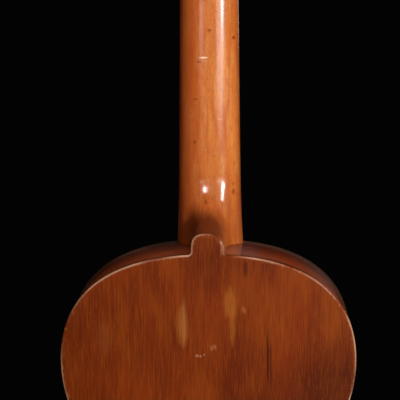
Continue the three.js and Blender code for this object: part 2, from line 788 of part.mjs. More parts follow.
const veneer_half = [...flare_outline.map(([x, rise]) => [x, rise + glue_gap]), ...corner_outline];
const veneer_loop = [...veneer_half, ...veneer_half.slice().reverse().map(([x, rise]) => [-x, rise])];
const veneer_outline = veneer_loop.map(([x, rise]) => new THREE.Vector2(x, rise));
const veneer = cut(slab(veneer_outline, -veneer_thickness - glue_gap, -glue_gap), ...slots);
addTo(head, 'headstock_veneer', veneer, dark_wood);

// Fretboard with its frets
const trapezoid = (z0, z1) => [
  new THREE.Vector2(widthAt(z0) / 2, z0),
  new THREE.Vector2(widthAt(z1) / 2, z1),
  new THREE.Vector2(-widthAt(z1) / 2, z1),
  new THREE.Vector2(-widthAt(z0) / 2, z0),
];
const board = slab(trapezoid(fretboard_end_z, nut_z - glue_gap), fretboard_y, soundboard_y - glue_gap);
const frets = Array.from({ length: fret_count }, (_, place) => {
  const z = fretZ(place + 1);
  const half = widthAt(z) / 2;
  const profile = fret_profile_shares.map(([out, along]) =>
    new THREE.Vector2(fretboard_y - fret_height * out, z + (fret_width / 2) * along));
  return barOf(profile, -half, half);
});
add('fretboard', join(board, ...frets), dark_wood);

// Bridge with thin wings, saddle and pins

const half_bridge = bridge_length / 2;
const half_centre = bridge_centre_length / 2;
const bridge_front = [
  [half_bridge, 0],
  [half_bridge, bridge_wing_height * bridge_round_share],
  [half_bridge - bridge_edge_round, bridge_wing_height],
  [half_centre + bridge_edge_round, bridge_wing_height],
  [half_centre, bridge_height * (1 - bridge_round_share / 2)],
  [half_centre - bridge_edge_round, bridge_height],
];
const bridge_loop = [...bridge_front, ...bridge_front.slice().reverse().map(([x, y]) => [-x, y])];
const bridge_shape = new THREE.Shape(bridge_loop.map(([x, y]) => new THREE.Vector2(x, -y)));
const bridge_along = new THREE.ExtrudeGeometry(bridge_shape, { depth: bridge_width, bevelEnabled: false });
const bridge_low_z = bridge_z - bridge_width / 2;
const bridge_high_z = bridge_z + bridge_width / 2;
const bridge_foot_y = soundboard_y - glue_gap;
const bridge_side = [
  [overrun, bridge_low_z],
  [-bridge_wing_height * bridge_round_share, bridge_low_z],
  [-bridge_height, bridge_low_z + bridge_edge_round],
  [-bridge_height, bridge_high_z - bridge_edge_round / 2],
  [-bridge_wing_height * bridge_round_share, bridge_high_z],
  [overrun, bridge_high_z],
].map(([y, z]) => new THREE.Vector2(bridge_foot_y + y, z));
const saddleRoom = (gap, top_y, bottom_y) =>
  block(-saddle_length / 2 - gap, saddle_length / 2 + gap, top_y, bottom_y,
    saddle_z - saddle_thickness / 2 - gap, saddle_z + saddle_thickness / 2 + gap);
const saddle_foot_y = bridge_top_y + saddle_depth;
const bridge = cut(
  meet(bridge_along.translate(0, bridge_foot_y, bridge_low_z), barOf(bridge_side, -half_bridge, half_bridge)),
  saddleRoom(glue_gap, bridge_top_y - overrun, saddle_foot_y + glue_gap),
  ...pin_holes,
);
add('bridge', bridge, dark_wood);

const saddle_profile = [
  [saddle_foot_y, -1],
  [saddle_foot_y, 1],
  [saddle_top_y + saddle_thickness / 2, 1],
  [saddle_top_y, saddle_top_share],
  [saddle_top_y, -saddle_top_share],
  [saddle_top_y + saddle_thickness / 2, -1],
].map(([y, share]) => new THREE.Vector2(y, saddle_z + (share * saddle_thickness) / 2));
add('saddle', barOf(saddle_profile, -saddle_length / 2, saddle_length / 2), bone);

// A taper pin with a round head and a flute for its string on the saddle's side
const pin_seat_y = bridge_top_y - glue_gap;
const pin_profile = [
  ...pin_head_shares.map(([wide, high]) => [pin_head_radius * wide, -pin_head_height * high]),
  [pin_top_radius, 0],
  [pin_tip_radius, pin_length],
  [0, pin_length],
];
const flute_z = pin_top_radius - pin_flute;
strings.forEach((string) => {
  const flute = block(-pin_flute / 2, pin_flute / 2, -pin_head_height * pin_flute_end_share,
    pin_length + overrun, flute_z, pin_head_radius + overrun);
  const pin = cut(alongY(turned(pin_profile, pin_steps)), flute);
  add(`bridge_pin_${string + 1}`, pin.translate(pinX(string), pin_seat_y, pin_z), bone);
});

// Strings, from the pins over the saddle and the nut to the rollers

// A route with sharp corners: each step of a tube along it ends at the next corner
class CornerRoute extends THREE.Curve {
  constructor(corners) {
    super();
    this.corners = corners;
  }

  getPoint(share, target = new THREE.Vector3()) {
    const place = share * (this.corners.length - 1);
    const before = Math.min(Math.floor(place), this.corners.length - 2);
    return target.lerpVectors(this.corners[before], this.corners[before + 1], place - before);
  }

  getPointAt(share, target) {
    return this.getPoint(share, target);
  }

  getTangentAt(share, target = new THREE.Vector3()) {
    const place = Math.round(share * (this.corners.length - 1));
    const leg = (from, to) => this.corners[to].clone().sub(this.corners[from]).normalize();
    const last = this.corners.length - 1;
    const arriving = leg(Math.max(place - 1, 0), Math.max(place, 1));
    const leaving = leg(Math.min(place, last - 1), Math.min(place + 1, last));
    return target.copy(arriving).add(leaving).normalize();
  }
}

function tube(corners, radius) {
  const circle = new THREE.Shape();
  for (let step = 0; step < string_sides; step += 1) {
    const angle = (2 * Math.PI * step) / string_sides;
    const point = [radius * Math.cos(angle), radius * Math.sin(angle)];
    if (step === 0) circle.moveTo(...point);
    else circle.lineTo(...point);
  }
  circle.closePath();
  const route = new CornerRoute(corners);
  return new THREE.ExtrudeGeometry(circle, { steps: corners.length - 1, extrudePath: route });
}

// Outer strings go to the rollers nearest the nut, inner ones to the farthest
const rollerOf = (string) => Math.min(string, string_count - 1 - string);
const sideOf = (string) => (string < string_count / 2 ? 1 : -1);
const string_radii = string_gauge_shares.map((share) => (thickest_string * share) / 2);
const string_nut_y = fretboard_y - fret_height - string_clearance_at_nut - thickest_string / 2;
const nut_bend_z = nut_z + nut_length / 4;

function anchorCorners(string) {
  const radius = string_radii[string];
  const flute_centre_z = pin_z + flute_z + glue_gap + radius;
  return [
    new THREE.Vector3(pinX(string), soundboard_inner_y + bridge_plate_thickness, flute_centre_z),
    new THREE.Vector3(pinX(string), bridge_top_y - radius, flute_centre_z),
  ];
}

function speakingCorners(string) {
  const over_saddle_y = saddle_top_y - glue_gap - string_radii[string];
  const roller_x = centre_rib_width / 2 + slot_width * roller_string_place_shares[rollerOf(string)];
  const roller_y = roller_depth - roller_radius - running_gap - string_radii[string];
  return [
    new THREE.Vector3(pinX(string), over_saddle_y, saddle_z - saddle_thickness / 4),
    new THREE.Vector3(pinX(string), over_saddle_y, saddle_z + saddle_thickness / 4),
    new THREE.Vector3(stringX(string, string_spread_at_nut), string_nut_y, nut_bend_z),
    pointFromHead(sideOf(string) * roller_x, roller_y, rollerRise(rollerOf(string))),
  ];
}

strings.forEach((string) => {
  const corners = [...anchorCorners(string), ...speakingCorners(string)];
  const material = sideOf(string) > 0 ? gut : wound_silver;
  add(`string_${string + 1}`, tube(corners, string_radii[string]), material);
});

// Each string lies half sunk in its groove across the nut
const nut_top_y = string_nut_y - nut_proud;
const nut_profile = [
  [soundboard_y - glue_gap, nut_z],
  [nut_top_y + nut_length / 4, nut_z],
  [nut_top_y, nut_bend_z],
  [nut_top_y + nut_length / 5, nut_z + nut_length - glue_gap],
  [soundboard_y - glue_gap, nut_z + nut_length - glue_gap],
].map(([y, z]) => new THREE.Vector2(y, z));
const nut_grooves = strings.map((string) => tube(speakingCorners(string), string_radii[string] + glue_gap));
add('nut', cut(barOf(nut_profile, -half_nut, half_nut), ...nut_grooves), bone);

// Tuning machines: a worm on the knob's shaft turns the gear on the roller's end

const plate_x = half_head + glue_gap;
const plate_face_x = plate_x + tuner_plate_thickness;
const worm_x = plate_face_x + worm_stand_off;
const wormRise = (place) => rollerRise(place) + worm_centre_distance;

function gearSection() {
  const tip = gear_pitch_radius + gear_tooth_rise;
  const root = gear_pitch_radius - gear_tooth_fall;
  const points = [];
  for (let tooth = 0; tooth < gear_teeth; tooth += 1) {
    const middle = (2 * Math.PI * (tooth + 0.5)) / gear_teeth;
    [[root, -gear_root_land], [tip, -gear_tip_land], [tip, gear_tip_land], [root, gear_root_land]]
      .forEach(([radius, land]) => {
        const angle = middle + land / (2 * radius);
        points.push(new THREE.Vector2(radius * Math.sin(angle), radius * Math.cos(angle)));
      });
  }
  return points;
}

// Round the X axis: shaft in the head, gear outside the plate, and the screw that holds it
function roller() {
  const gear_x0 = worm_x - gear_width / 2;
  const gear_x1 = worm_x + gear_width / 2;
  const shaft = turned([[0, roller_end_x], [roller_radius, roller_end_x], [roller_radius, gear_x1],
    [gear_screw_radius, gear_x1], [gear_screw_radius, gear_x1 + gear_screw_height],
    [0, gear_x1 + gear_screw_height]]);
  const wheel = new THREE.ExtrudeGeometry(new THREE.Shape(gearSection()),
    { depth: gear_width, bevelEnabled: false }).translate(0, 0, gear_x0);
  const upright = wheel.rotateZ(-Math.PI / 2);
  return alongX(join(shaft, upright));
}

// Round the Y axis: a right-hand thread on a plain shaft, with a ridge opposite the gear
function worm() {
  const root = worm_pitch_radius - worm_ridge_fall;
  const tip = worm_pitch_radius + worm_ridge_rise;
  const low_end = -lug_spacing / 2 - lug_thickness;
  const high_end = knob_start_y + knob_socket - roller_depth;
  const core = turned([[0, low_end], [worm_shaft_radius, low_end], [worm_shaft_radius, -worm_length / 2],
    [root, -worm_length / 2], [root, worm_length / 2], [worm_shaft_radius, worm_length / 2],
    [worm_shaft_radius, high_end], [0, high_end]], thread_steps_a_turn);
  const thread_room = worm_length / 2 - worm_root_land / 2;
  const half_turns = Math.floor((2 * thread_room) / thread_pitch) / 2;
  const steps = 2 * half_turns * thread_steps_a_turn;
  const rings = [];
  for (let step = 0; step <= steps; step += 1) {
    const turns = step / thread_steps_a_turn - half_turns;
    const angle = Math.PI + 2 * Math.PI * turns;
    const crest = step === 0 || step === steps ? root : tip;
    const section = [[root - worm_sink, -worm_root_land], [crest, -worm_tip_land], [crest, worm_tip_land],
      [root - worm_sink, worm_root_land]];
    rings.push(section.map(([radius, land]) => {
      const y = thread_pitch * turns + land / 2;
      return new THREE.Vector3(radius * Math.sin(angle), y, radius * Math.cos(angle));
    }));
  }
  return join(alongY(core), loft(rings));
}

// A flat oval button with a socket for the shaft
function knob() {
  const rings = knob_shares.map(([along, wide, thick]) => {
    const ring = [];
    for (let step = 0; step < turned_steps; step += 1) {
      const angle = (2 * Math.PI * step) / turned_steps;
      const x = ((knob_thickness * thick) / 2) * Math.cos(angle);
      const z = ((knob_width * wide) / 2) * Math.sin(angle);
      ring.push(new THREE.Vector3(x, knob_start_y + knob_length * along, z));
    }
    return ring;
  });
  const socket = alongY(bore(worm_shaft_radius + running_gap, knob_start_y - overrun,
    knob_start_y + knob_socket + running_gap, turned_steps));
  return cut(loft(rings), socket);
}

function tunerPlate() {
  const y0 = roller_depth - tuner_plate_height / 2;
  const y1 = roller_depth + tuner_plate_height / 2;
  const z0 = first_roller_rise - tuner_plate_margin;
  const z1 = wormRise(roller_count - 1) + tuner_plate_margin;
  const sheet = block(plate_x, plate_face_x, y0, y1, z0, z1);
  const lugs = rollers.flatMap((place) => [-1, 1].map((end) => {
    const y = roller_depth + (end * lug_spacing) / 2;
    const z = wormRise(place);
    return block(plate_x, worm_x + worm_shaft_radius + lug_wall, y - lug_thickness / 2, y + lug_thickness / 2,
      z - lug_width / 2, z + lug_width / 2);
  }));
  const shaft_holes = rollers.map((place) =>
    alongY(bore(worm_shaft_radius + running_gap, -overrun, head_thickness + overrun, turned_steps))
      .translate(worm_x, 0, wormRise(place)));
  const roller_rooms = rollers.map((place) =>
    alongX(bore(roller_radius + running_gap, half_head - overrun, plate_face_x + overrun, turned_steps))
      .translate(0, roller_depth, rollerRise(place)));
  return cut(join(sheet, ...lugs), ...shaft_holes, ...roller_rooms);
}

const plate = tunerPlate();
addTo(head, 'tuner_plate_treble', plate, tuner_metal);
addTo(head, 'tuner_plate_bass', mirrorX(plate), tuner_metal);
strings.forEach((string) => {
  const side = sideOf(string);
  const place = rollerOf(string);
  const shaped = side > 0 ? roller() : mirrorX(roller());
  const roller_mesh = addTo(head, `tuner_roller_${string + 1}`, shaped, tuner_metal);
  roller_mesh.position.set(0, roller_depth, rollerRise(place));
  const worm_mesh = addTo(head, `tuner_worm_${string + 1}`, worm(), tuner_metal);
  worm_mesh.position.set(side * worm_x, roller_depth, wormRise(place));
  const knob_mesh = addTo(head, `tuner_button_${string + 1}`, knob(), bone);
  knob_mesh.position.set(side * worm_x, 0, wormRise(place));
});

export default guitar;
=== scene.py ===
"""The looks of the small-bodied guitar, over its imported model.

Metres, in the model's own frame: +Z runs up the neck, +Y out of the back and
+X to the treble side. Sizes that the pieces share are written in millimetres.
"""
import json
import math

import bmesh
import bpy
import numpy as np
from mathutils import Matrix, Vector


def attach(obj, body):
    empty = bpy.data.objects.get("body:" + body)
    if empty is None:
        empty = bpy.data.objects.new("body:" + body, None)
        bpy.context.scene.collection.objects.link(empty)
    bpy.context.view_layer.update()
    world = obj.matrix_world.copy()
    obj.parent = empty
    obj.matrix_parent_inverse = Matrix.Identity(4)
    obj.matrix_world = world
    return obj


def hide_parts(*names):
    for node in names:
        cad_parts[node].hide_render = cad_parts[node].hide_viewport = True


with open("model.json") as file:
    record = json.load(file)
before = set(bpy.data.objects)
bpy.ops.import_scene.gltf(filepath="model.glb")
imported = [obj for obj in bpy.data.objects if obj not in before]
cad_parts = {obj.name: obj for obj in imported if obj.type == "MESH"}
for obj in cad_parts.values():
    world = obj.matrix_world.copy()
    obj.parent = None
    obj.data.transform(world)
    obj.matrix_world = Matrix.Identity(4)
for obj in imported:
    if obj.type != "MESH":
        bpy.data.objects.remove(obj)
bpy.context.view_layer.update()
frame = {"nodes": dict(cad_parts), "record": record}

MM = 0.001

# Body sizes in millimetres, as in the model. Bouts and waist: half width, and height over the tail
BODY_LENGTH = 455
LOWER_BOUT, WAIST, UPPER_BOUT = (159, 110), (95, 270), (118, 371)
TAIL_DEPTH, SHOULDER_DEPTH = 92, 82
ARCH_ACROSS, ARCH_ALONG = 2400, 6000
OVERHANG = 1.5
TAIL_Z = 12
SHOULDER_Z = TAIL_Z + BODY_LENGTH
FRONT_Y = -46
SOUNDBOARD_THICKNESS, BACK_THICKNESS, RIB_THICKNESS = 2.8, 3.0, 2.0
GLUE_GAP = 0.3

# The heel button, a little lower than in the model, and its treble (1) and bass (-1) sides
BUTTON_WIDTH, BUTTON_HEIGHT, BUTTON_FILLET = 27, 18.2, 3
BUTTON_POWERS = {1: 3.1, -1: 1.9}
HEEL_FLARES = {1: 1.1, -1: 1.7}

# Neck, heel and head sizes in millimetres
NUT_Z = 782
NUT_WIDTH, JOIN_WIDTH = 47.2, 53.0
NUT_DEPTH, HEEL_DEPTH = 15.5, 17.0
HEEL_START, HEEL_FLANK = 58, 40
NECK_ROUNDNESS = 0.85
HEAD_TILT = math.radians(12)
HEAD_THICKNESS = 17


# Meshes from whole arrays of points

def xyz(x, y, z):
    """Points from their places along X, Y and Z, each an array or one number for all."""
    return np.stack(np.broadcast_arrays(x, y, z), -1)


def circle(turn):
    """Points of the unit circle at the given angles."""
    return np.stack([np.cos(turn), np.sin(turn)], -1)


def unit(vectors):
    """Vectors brought to a length of one."""
    return vectors / np.linalg.norm(vectors, axis=-1, keepdims=True)


def full_turn(steps):
    """Even steps once round, without the last, which would meet the first."""
    return np.linspace(0, 2 * math.pi, steps + 1)[:-1]


def quarter_turn(steps):
    return np.linspace(0, math.pi / 2, steps + 1)


def rectangle(half_wide, half_high):
    """The four corners of a rectangle round its middle."""
    return np.array([[-1, -1], [1, -1], [1, 1], [-1, 1]]) * (half_wide, half_high)


def ring_faces(rows, columns, ends="fan"):
    """Faces of a tube of rings of points: quads between neighbours, and at each end a fan
    round one added middle point, or with ends "joined" quads from the last ring to the first."""
    index = np.arange(rows * columns).reshape(rows, columns)
    if ends == "joined":
        index = np.vstack([index, index[:1]])
    low, high = index[:-1], index[1:]
    quads = np.stack([low, np.roll(low, -1, 1), np.roll(high, -1, 1), high], -1)
    faces = quads.reshape(-1, 4).tolist()
    if ends == "fan":
        first, last = index[0], index[-1]
        middle = np.full(columns, rows * columns)
        faces += np.stack([middle, np.roll(first, -1), first], -1).tolist()
        faces += np.stack([middle + 1, last, np.roll(last, -1)], -1).tolist()
    return faces


def added(name, data):
    """A new object in the scene, made of a mesh, a camera or a lamp."""
    made = bpy.data.objects.new(name, data)
    bpy.context.scene.collection.objects.link(made)
    return made


def tube_of(name, rings, slot, stands_for=None, body="instrument", ends="fan", crease=35,
            finish=None):
    """A closed piece at the origin through rings of points in millimetres, riding on its body.

    It is turned so that its faces enclose a positive volume, the sum of the corners' triple
    products. Faces that meet at more than the crease angle keep a sharp edge. It takes the
    finish of its slot in the record, unless given another, and may stand for a solid.
    """
    rings = np.asarray(rings, float)
    points = rings.reshape(-1, 3)
    if ends == "fan":
        points = np.vstack([points, rings[[0, -1]].mean(1)])
    faces = ring_faces(*rings.shape[:2], ends)
    halves = [face[:3] for face in faces]
    halves += [[face[0], *face[2:]] for face in faces if len(face) > 3]
    a, b, c = points[np.array(halves).T]
    if np.einsum("ij,ij->i", a, np.cross(b, c)).sum() < 0:
        faces = [face[::-1] for face in faces]
    mesh = bpy.data.meshes.new(name)
    mesh.from_pydata(points * MM, [], faces)
    mesh.validate()
    mesh.shade_smooth()
    mesh.set_sharp_from_angle(angle=math.radians(crease))
    piece = added(name, mesh)
    piece.data.materials.append(finish or slot_finish[slot])
    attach(piece, body)
    if stands_for:
        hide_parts(stands_for)
    return piece


def turned(name, profile, place, slot, stands_for, along="z", steps=48, ends="fan"):
    """A turned piece: pairs of radius and height carried round an axis through its place."""
    radius, height = np.asarray(profile, float).T[..., None]
    across, beside = np.moveaxis(radius[..., None] * circle(full_turn(steps)), -1, 0)
    order = (across, beside, height) if along == "z" else (across, height, beside)
    return tube_of(name, xyz(*order) + np.asarray(place, float), slot, stands_for, ends=ends)


def point_values(piece, name, values):
    """Stores one number for each point of a piece, for its material to read."""
    layer = piece.data.attributes.new(name, "FLOAT", "POINT")
    filled = np.zeros(len(piece.data.vertices), np.float32)
    filled[:len(values)] = values
    layer.data.foreach_set("value", filled)


def recalculated(mesh, change=None):
    """Works on a mesh, then turns its faces outwards."""
    made = bmesh.new()
    made.from_mesh(mesh)
    if change:
        change(made)
    bmesh.ops.recalc_face_normals(made, faces=made.faces[:])
    made.to_mesh(mesh)
    made.free()


def keep_side(piece, place, normal, keep_positive):
    """Cuts a closed piece with a plane, keeps one side and closes the cut flat."""
    def cut_and_close(made):
        cut = bmesh.ops.bisect_plane(
            made, geom=made.verts[:] + made.edges[:] + made.faces[:], dist=1e-7,
            plane_co=Vector(place) * MM, plane_no=Vector(normal),
            clear_outer=not keep_positive, clear_inner=keep_positive)
        edges = [part for part in cut["geom_cut"] if isinstance(part, bmesh.types.BMEdge)]
        bmesh.ops.holes_fill(made, edges=edges, sides=0)

    recalculated(piece.data, cut_and_close)
    piece.data.set_sharp_from_angle(angle=math.radians(35))


def room(rings):
    """A cutter: a closed mesh through rings of points, with no body of its own."""
    rings = np.asarray(rings, float)
    mesh = bpy.data.meshes.new("room")
    points = np.vstack([rings.reshape(-1, 3), rings[[0, -1]].mean(1)])
    mesh.from_pydata(points * MM, [], ring_faces(*rings.shape[:2]))
    recalculated(mesh)
    return added("room", mesh)


def carve(piece, cutters, crease=35):
    """Cuts the cutters out of a piece, in its own mesh, and clears them away."""
    for cutter in cutters:
        change = piece.modifiers.new("carve", "BOOLEAN")
        change.operation, change.solver, change.object = "DIFFERENCE", "EXACT", cutter
    carved = piece.evaluated_get(bpy.context.evaluated_depsgraph_get())
    made = bpy.data.meshes.new_from_object(carved)
    piece.modifiers.clear()
    made.shade_smooth()
    made.set_sharp_from_angle(angle=math.radians(crease))
    piece.data = made
    for cutter in cutters:
        bpy.data.objects.remove(cutter)


# The body's outline and the arch of its back

def bezier(points, steps):
    """Points of a cubic curve with their unit tangents, leaving out the first."""
    t = np.linspace(0, 1, steps + 1)[1:, None]
    p0, p1, p2, p3 = np.asarray(points, float)
    place = (1 - t) ** 3 * p0 + 3 * (1 - t) ** 2 * t * p1 + 3 * (1 - t) * t ** 2 * p2 + t ** 3 * p3
    way = (1 - t) ** 2 * (p1 - p0) + 2 * (1 - t) * t * (p2 - p1) + t ** 2 * (p3 - p2)
    return place, unit(way)


def half_outline(inset):
    """Half of the outline, from the middle of the tail up the treble side to the middle of
    the shoulder: four cubic curves, moved in square to themselves by the inset."""
    tail, lower, waist, upper, shoulder = (
        (x, TAIL_Z + rise) for x, rise in ((0, 0), LOWER_BOUT, WAIST, UPPER_BOUT, (0, BODY_LENGTH)))

    def stem(a, b, share):
        return (a[0], a[1] + (b[1] - a[1]) * share)

    def reach(a, b, share):
        return (a[0] + (b[0] - a[0]) * share, a[1])

    curves = [
        (tail, reach(tail, lower, 0.6), stem(lower, tail, 0.55), lower),
        (lower, stem(lower, waist, 0.55), stem(waist, lower, 0.42), waist),
        (waist, stem(waist, upper, 0.42), stem(upper, waist, 0.42), upper),
        (upper, stem(upper, shoulder, 0.61), reach(shoulder, upper, 0.69), shoulder),
    ]
    places, ways = zip(*(bezier(curve, 40) for curve in curves))
    x, z = np.vstack([(1, 0), *ways]).T
    place = np.vstack([tail, *places]) + inset * np.stack([-z, x], -1)
    place[[0, -1], 0] = 0
    return place


def moved_in(loop, inset):
    """A loop moved in square to itself, by its neighbours' direction."""
    way = unit(np.roll(loop, -1, 0) - np.roll(loop, 1, 0))
    return loop + inset * np.stack([-way[:, 1], way[:, 0]], -1)


def back_outer(x, z):
    """Outer face of the back: the depth tapers from tail to shoulder and arches both ways."""
    height = z - TAIL_Z
    half = BODY_LENGTH / 2
    depth = TAIL_DEPTH + (SHOULDER_DEPTH - TAIL_DEPTH) * height / BODY_LENGTH
    arch = (half ** 2 - (height - half) ** 2) / (2 * ARCH_ALONG)
    return FRONT_Y + depth + arch - x ** 2 / (2 * ARCH_ACROSS)


def back_inner(x, z):
    return back_outer(x, z) - BACK_THICKNESS


def back_loop():
    """The back's outline, with the button standing up from the shoulder on fillets. Its arc is
    cosine and sine raised to a power, squarer on the treble side, as its maker's knife left it."""
    half = half_outline(-OVERHANG)
    radius = BUTTON_WIDTH / 2
    foot = radius + BUTTON_FILLET
    upper = half[:, 1] > TAIL_Z + UPPER_BOUT[1]
    kept = half[~upper | (half[:, 0] > foot)]
    foot_z = np.interp(foot, half[upper][::-1, 0], half[upper][::-1, 1])
    fillet = (foot, foot_z + BUTTON_FILLET) - BUTTON_FILLET * circle(quarter_turn(8))[:, ::-1]
    middle = (0, SHOULDER_Z + BUTTON_HEIGHT - radius)
    sides = {}
    for side, power in BUTTON_POWERS.items():
        arc = middle + radius * circle(quarter_turn(28)).clip(0) ** (2 / power)
        sides[side] = np.vstack([kept, fillet, arc])
        sides[side][-1, 0] = 0
    return np.vstack([sides[1], sides[-1][-2:0:-1] * (-1, 1)])


def back_plate():
    """Arched plate inside its loop: rings by shares of the way from the middle, then rings at
    set distances from the edge, which is rounded on a small radius; the inner face is parallel.
    It stores each point's distance from the rim, and which points lie inside the box."""
    loop = back_loop()
    middle = np.array([0, TAIL_Z + BODY_LENGTH / 2])
    edge_round, inner_round = 1.3, 0.6
    insets = (3.2, 2.2, 1.3, 0.8, 0.4, 0.12, 0)
    inner_shares = (0.98, 0.8, 0.5, 0.2, 0.02)
    edge = moved_in(loop, insets[0])
    rings, rims = [], []

    def add_ring(flat, face, rise, rim=None):
        rings.append(xyz(flat[:, 0], face(*flat.T) + rise, flat[:, 1]))
        rims.append(np.linalg.norm(edge - flat, axis=1) if rim is None else np.full(len(flat), rim))

    for share in (0.02, 0.12, 0.25, 0.38, 0.5, 0.62, 0.73, 0.82, 0.9, 0.96):
        add_ring(middle + (edge - middle) * share, back_outer, 0)
    for inset in insets:
        rounding = math.sqrt(edge_round ** 2 - max(0, edge_round - inset) ** 2) - edge_round
        add_ring(moved_in(loop, inset), back_outer, rounding, inset)
    for inset, rise in ((0, inner_round), (0.2, 0.2), (inner_round, 0)):
        add_ring(moved_in(loop, inset), back_inner, rise, 0)
    for share in inner_shares:
        add_ring(middle + (edge - middle) * share, back_inner, 0)
    piece = tube_of("back_plate", rings, "back_wood", "back")
    at_middle = 90
    point_values(piece, "rim", np.concatenate(rims + [[at_middle, at_middle]]))
    inner_face = np.repeat(np.arange(len(rings)) >= len(rings) - len(inner_shares), len(loop))
    point_values(piece, "inside", np.append(inner_face, [0, 1]))


def bent_rib(name, side, stands_for):
    """One rib bent along half of the outline: a rectangle of the rib's thickness, from just
    inside the soundboard to just inside the arched back, carried along the curve. It stores
    each point's way along the bend and distance from the back, and the inner face."""
    outer, inner = half_outline(0), half_outline(RIB_THICKNESS)
    for edge in (outer, inner):
        edge[[0, -1], 0] = GLUE_GAP / 2
    low = FRONT_Y + SOUNDBOARD_THICKNESS + GLUE_GAP / 2
    roof = back_inner(*outer.T)
    shares = np.linspace(0, 1, 9)
    there_and_back = np.append(shares, shares[::-1])
    rings = np.stack([
        xyz(side * edge[:, 0], low + (roof - GLUE_GAP / 2 - low) * share, edge[:, 1])
        for edge, share in zip([outer] * len(shares) + [inner] * len(shares), there_and_back)], 1)
    piece = tube_of(name, rings, "rib_wood", stands_for)
    steps = np.linalg.norm(np.diff(outer, axis=0), axis=1)
    point_values(piece, "along", np.repeat(np.append(0, steps.cumsum()), len(there_and_back)))
    point_values(piece, "across", np.outer(roof - low, 1 - there_and_back).ravel())
    point_values(piece, "inside", np.tile(np.repeat([0, 1], len(shares)), len(rings)))


# Neck and heel

def neck_width(z):
    return NUT_WIDTH + (JOIN_WIDTH - NUT_WIDTH) * (NUT_Z - z) / (NUT_Z - SHOULDER_Z)


def neck_depth(z):
    return NUT_DEPTH + (HEEL_DEPTH - NUT_DEPTH) * (NUT_Z - z) / (NUT_Z - SHOULDER_Z - HEEL_START)


HEEL_CAP_DEPTH = back_inner(0, SHOULDER_Z) - FRONT_Y - GLUE_GAP
HEEL_FRONT_DEPTH = HEEL_DEPTH / 2
HEEL_CAP_HALF = BUTTON_WIDTH / 2 - 0.3
HEEL_BLEND = 6
FLARE_FADE = 25
COVE_START, COVE_RADIUS, COVE_DEPTH = 57, 46, 6
BUTTON_STRAIGHT = BUTTON_HEIGHT - BUTTON_WIDTH / 2


def cove(rises):
    """How much deeper the neck's back grows towards the heel: a parabola that levels off."""
    fall = np.maximum(COVE_START - rises, 0)
    return COVE_DEPTH * (1 - np.exp(-fall ** 2 / (2 * COVE_RADIUS * COVE_DEPTH)))


def heel_half_width(depth, height, power):
    """Half width of the heel at a depth behind the front and a height over the shoulder:
    flanks hollowed towards the cap, under a top that falls along a quarter ellipse and is
    rounded by the button's power."""
    flank = np.maximum(0, 1 - depth / HEEL_FLANK) ** 1.6
    wide = HEEL_CAP_HALF + (JOIN_WIDTH / 2 - HEEL_CAP_HALF) * flank
    deep = np.clip((depth - HEEL_FRONT_DEPTH) / (HEEL_CAP_DEPTH - HEEL_FRONT_DEPTH), 0, 1)
    top = BUTTON_HEIGHT + (HEEL_START - BUTTON_HEIGHT) * (1 - np.sqrt(1 - (1 - deep) ** 2))
    up = np.clip((height - BUTTON_STRAIGHT) / (top - BUTTON_STRAIGHT), 0, None)
    half = wide * np.maximum(0, 1 - up ** power) ** (1 / power)
    return np.where((up > 1) | (depth > HEEL_CAP_DEPTH), -1.0, half)


def neck_side(rises, heel_power, flare):
    """Half rings of the neck and heel: in polar form round the middle of the fretboard's
    underside, the radius is a smooth maximum of the rounded shaft's and the heel's, which falls
    away on a parabola above the height where it starts. The heel's radius is found by halving
    a span of 120 mm. The flanks flare by a millimetre or two where they meet the body."""
    rises = np.asarray(rises, float)[:, None]
    z = SHOULDER_Z + rises
    half_wide = neck_width(z) / 2
    cap_half = heel_half_width(HEEL_CAP_DEPTH - 0.01, rises, heel_power)
    corner = np.arctan2(HEEL_CAP_DEPTH, np.maximum(cap_half, 3.0))
    corner = np.where(rises > BUTTON_HEIGHT, math.radians(86), corner)
    flank, cap = np.linspace(0, 1, 41)[None] ** 1.15, np.linspace(0, 1, 11)[None, 1:]
    angle = np.hstack([corner * flank, corner + (math.pi / 2 - corner) * cap])
    cosine, sine = np.cos(angle), np.sin(angle)
    power = 2 / NECK_ROUNDNESS
    deep = neck_depth(z) + cove(rises)
    shaft = ((np.abs(cosine) / half_wide) ** power + (sine / deep) ** power) ** (-1 / power)
    low, high = np.zeros_like(angle), np.full_like(angle, 120)
    heights = np.broadcast_to(np.minimum(rises, HEEL_START - 0.1), angle.shape)
    for _ in range(40):
        middle = (low + high) / 2
        inside = middle * cosine <= heel_half_width(middle * sine, heights, heel_power)
        low, high = np.where(inside, middle, low), np.where(inside, high, middle)
    above = np.maximum(rises - HEEL_START, 0) / (HEEL_START - BUTTON_HEIGHT)
    heel = low - (HEEL_CAP_DEPTH - HEEL_FRONT_DEPTH) * above ** 2 / 2
    blend = HEEL_BLEND * sine ** 2 + 0.001
    share = np.clip(0.5 + (heel - shaft) / (2 * blend), 0, 1)
    radius = shaft + (heel - shaft) * share + blend * share * (1 - share)
    roof = np.where(sine > 0.1, HEEL_CAP_DEPTH / np.maximum(sine, 0.1), 1e3)
    radius = np.minimum(radius, roof)
    x = radius * cosine
    x = x + flare * np.exp(-rises / FLARE_FADE) * (x / half_wide) ** 3
    return xyz(x, FRONT_Y + radius * sine, z)


def head_point(x, y, z):
    """A point of the head's own frame, which leans back from the front edge of the nut."""
    cosine, sine = math.cos(HEAD_TILT), math.sin(HEAD_TILT)
    return xyz(x, FRONT_Y + cosine * y + sine * z, NUT_Z + 5 - sine * y + cosine * z)


HEAD_BACK = (0, math.cos(HEAD_TILT), -math.sin(HEAD_TILT))


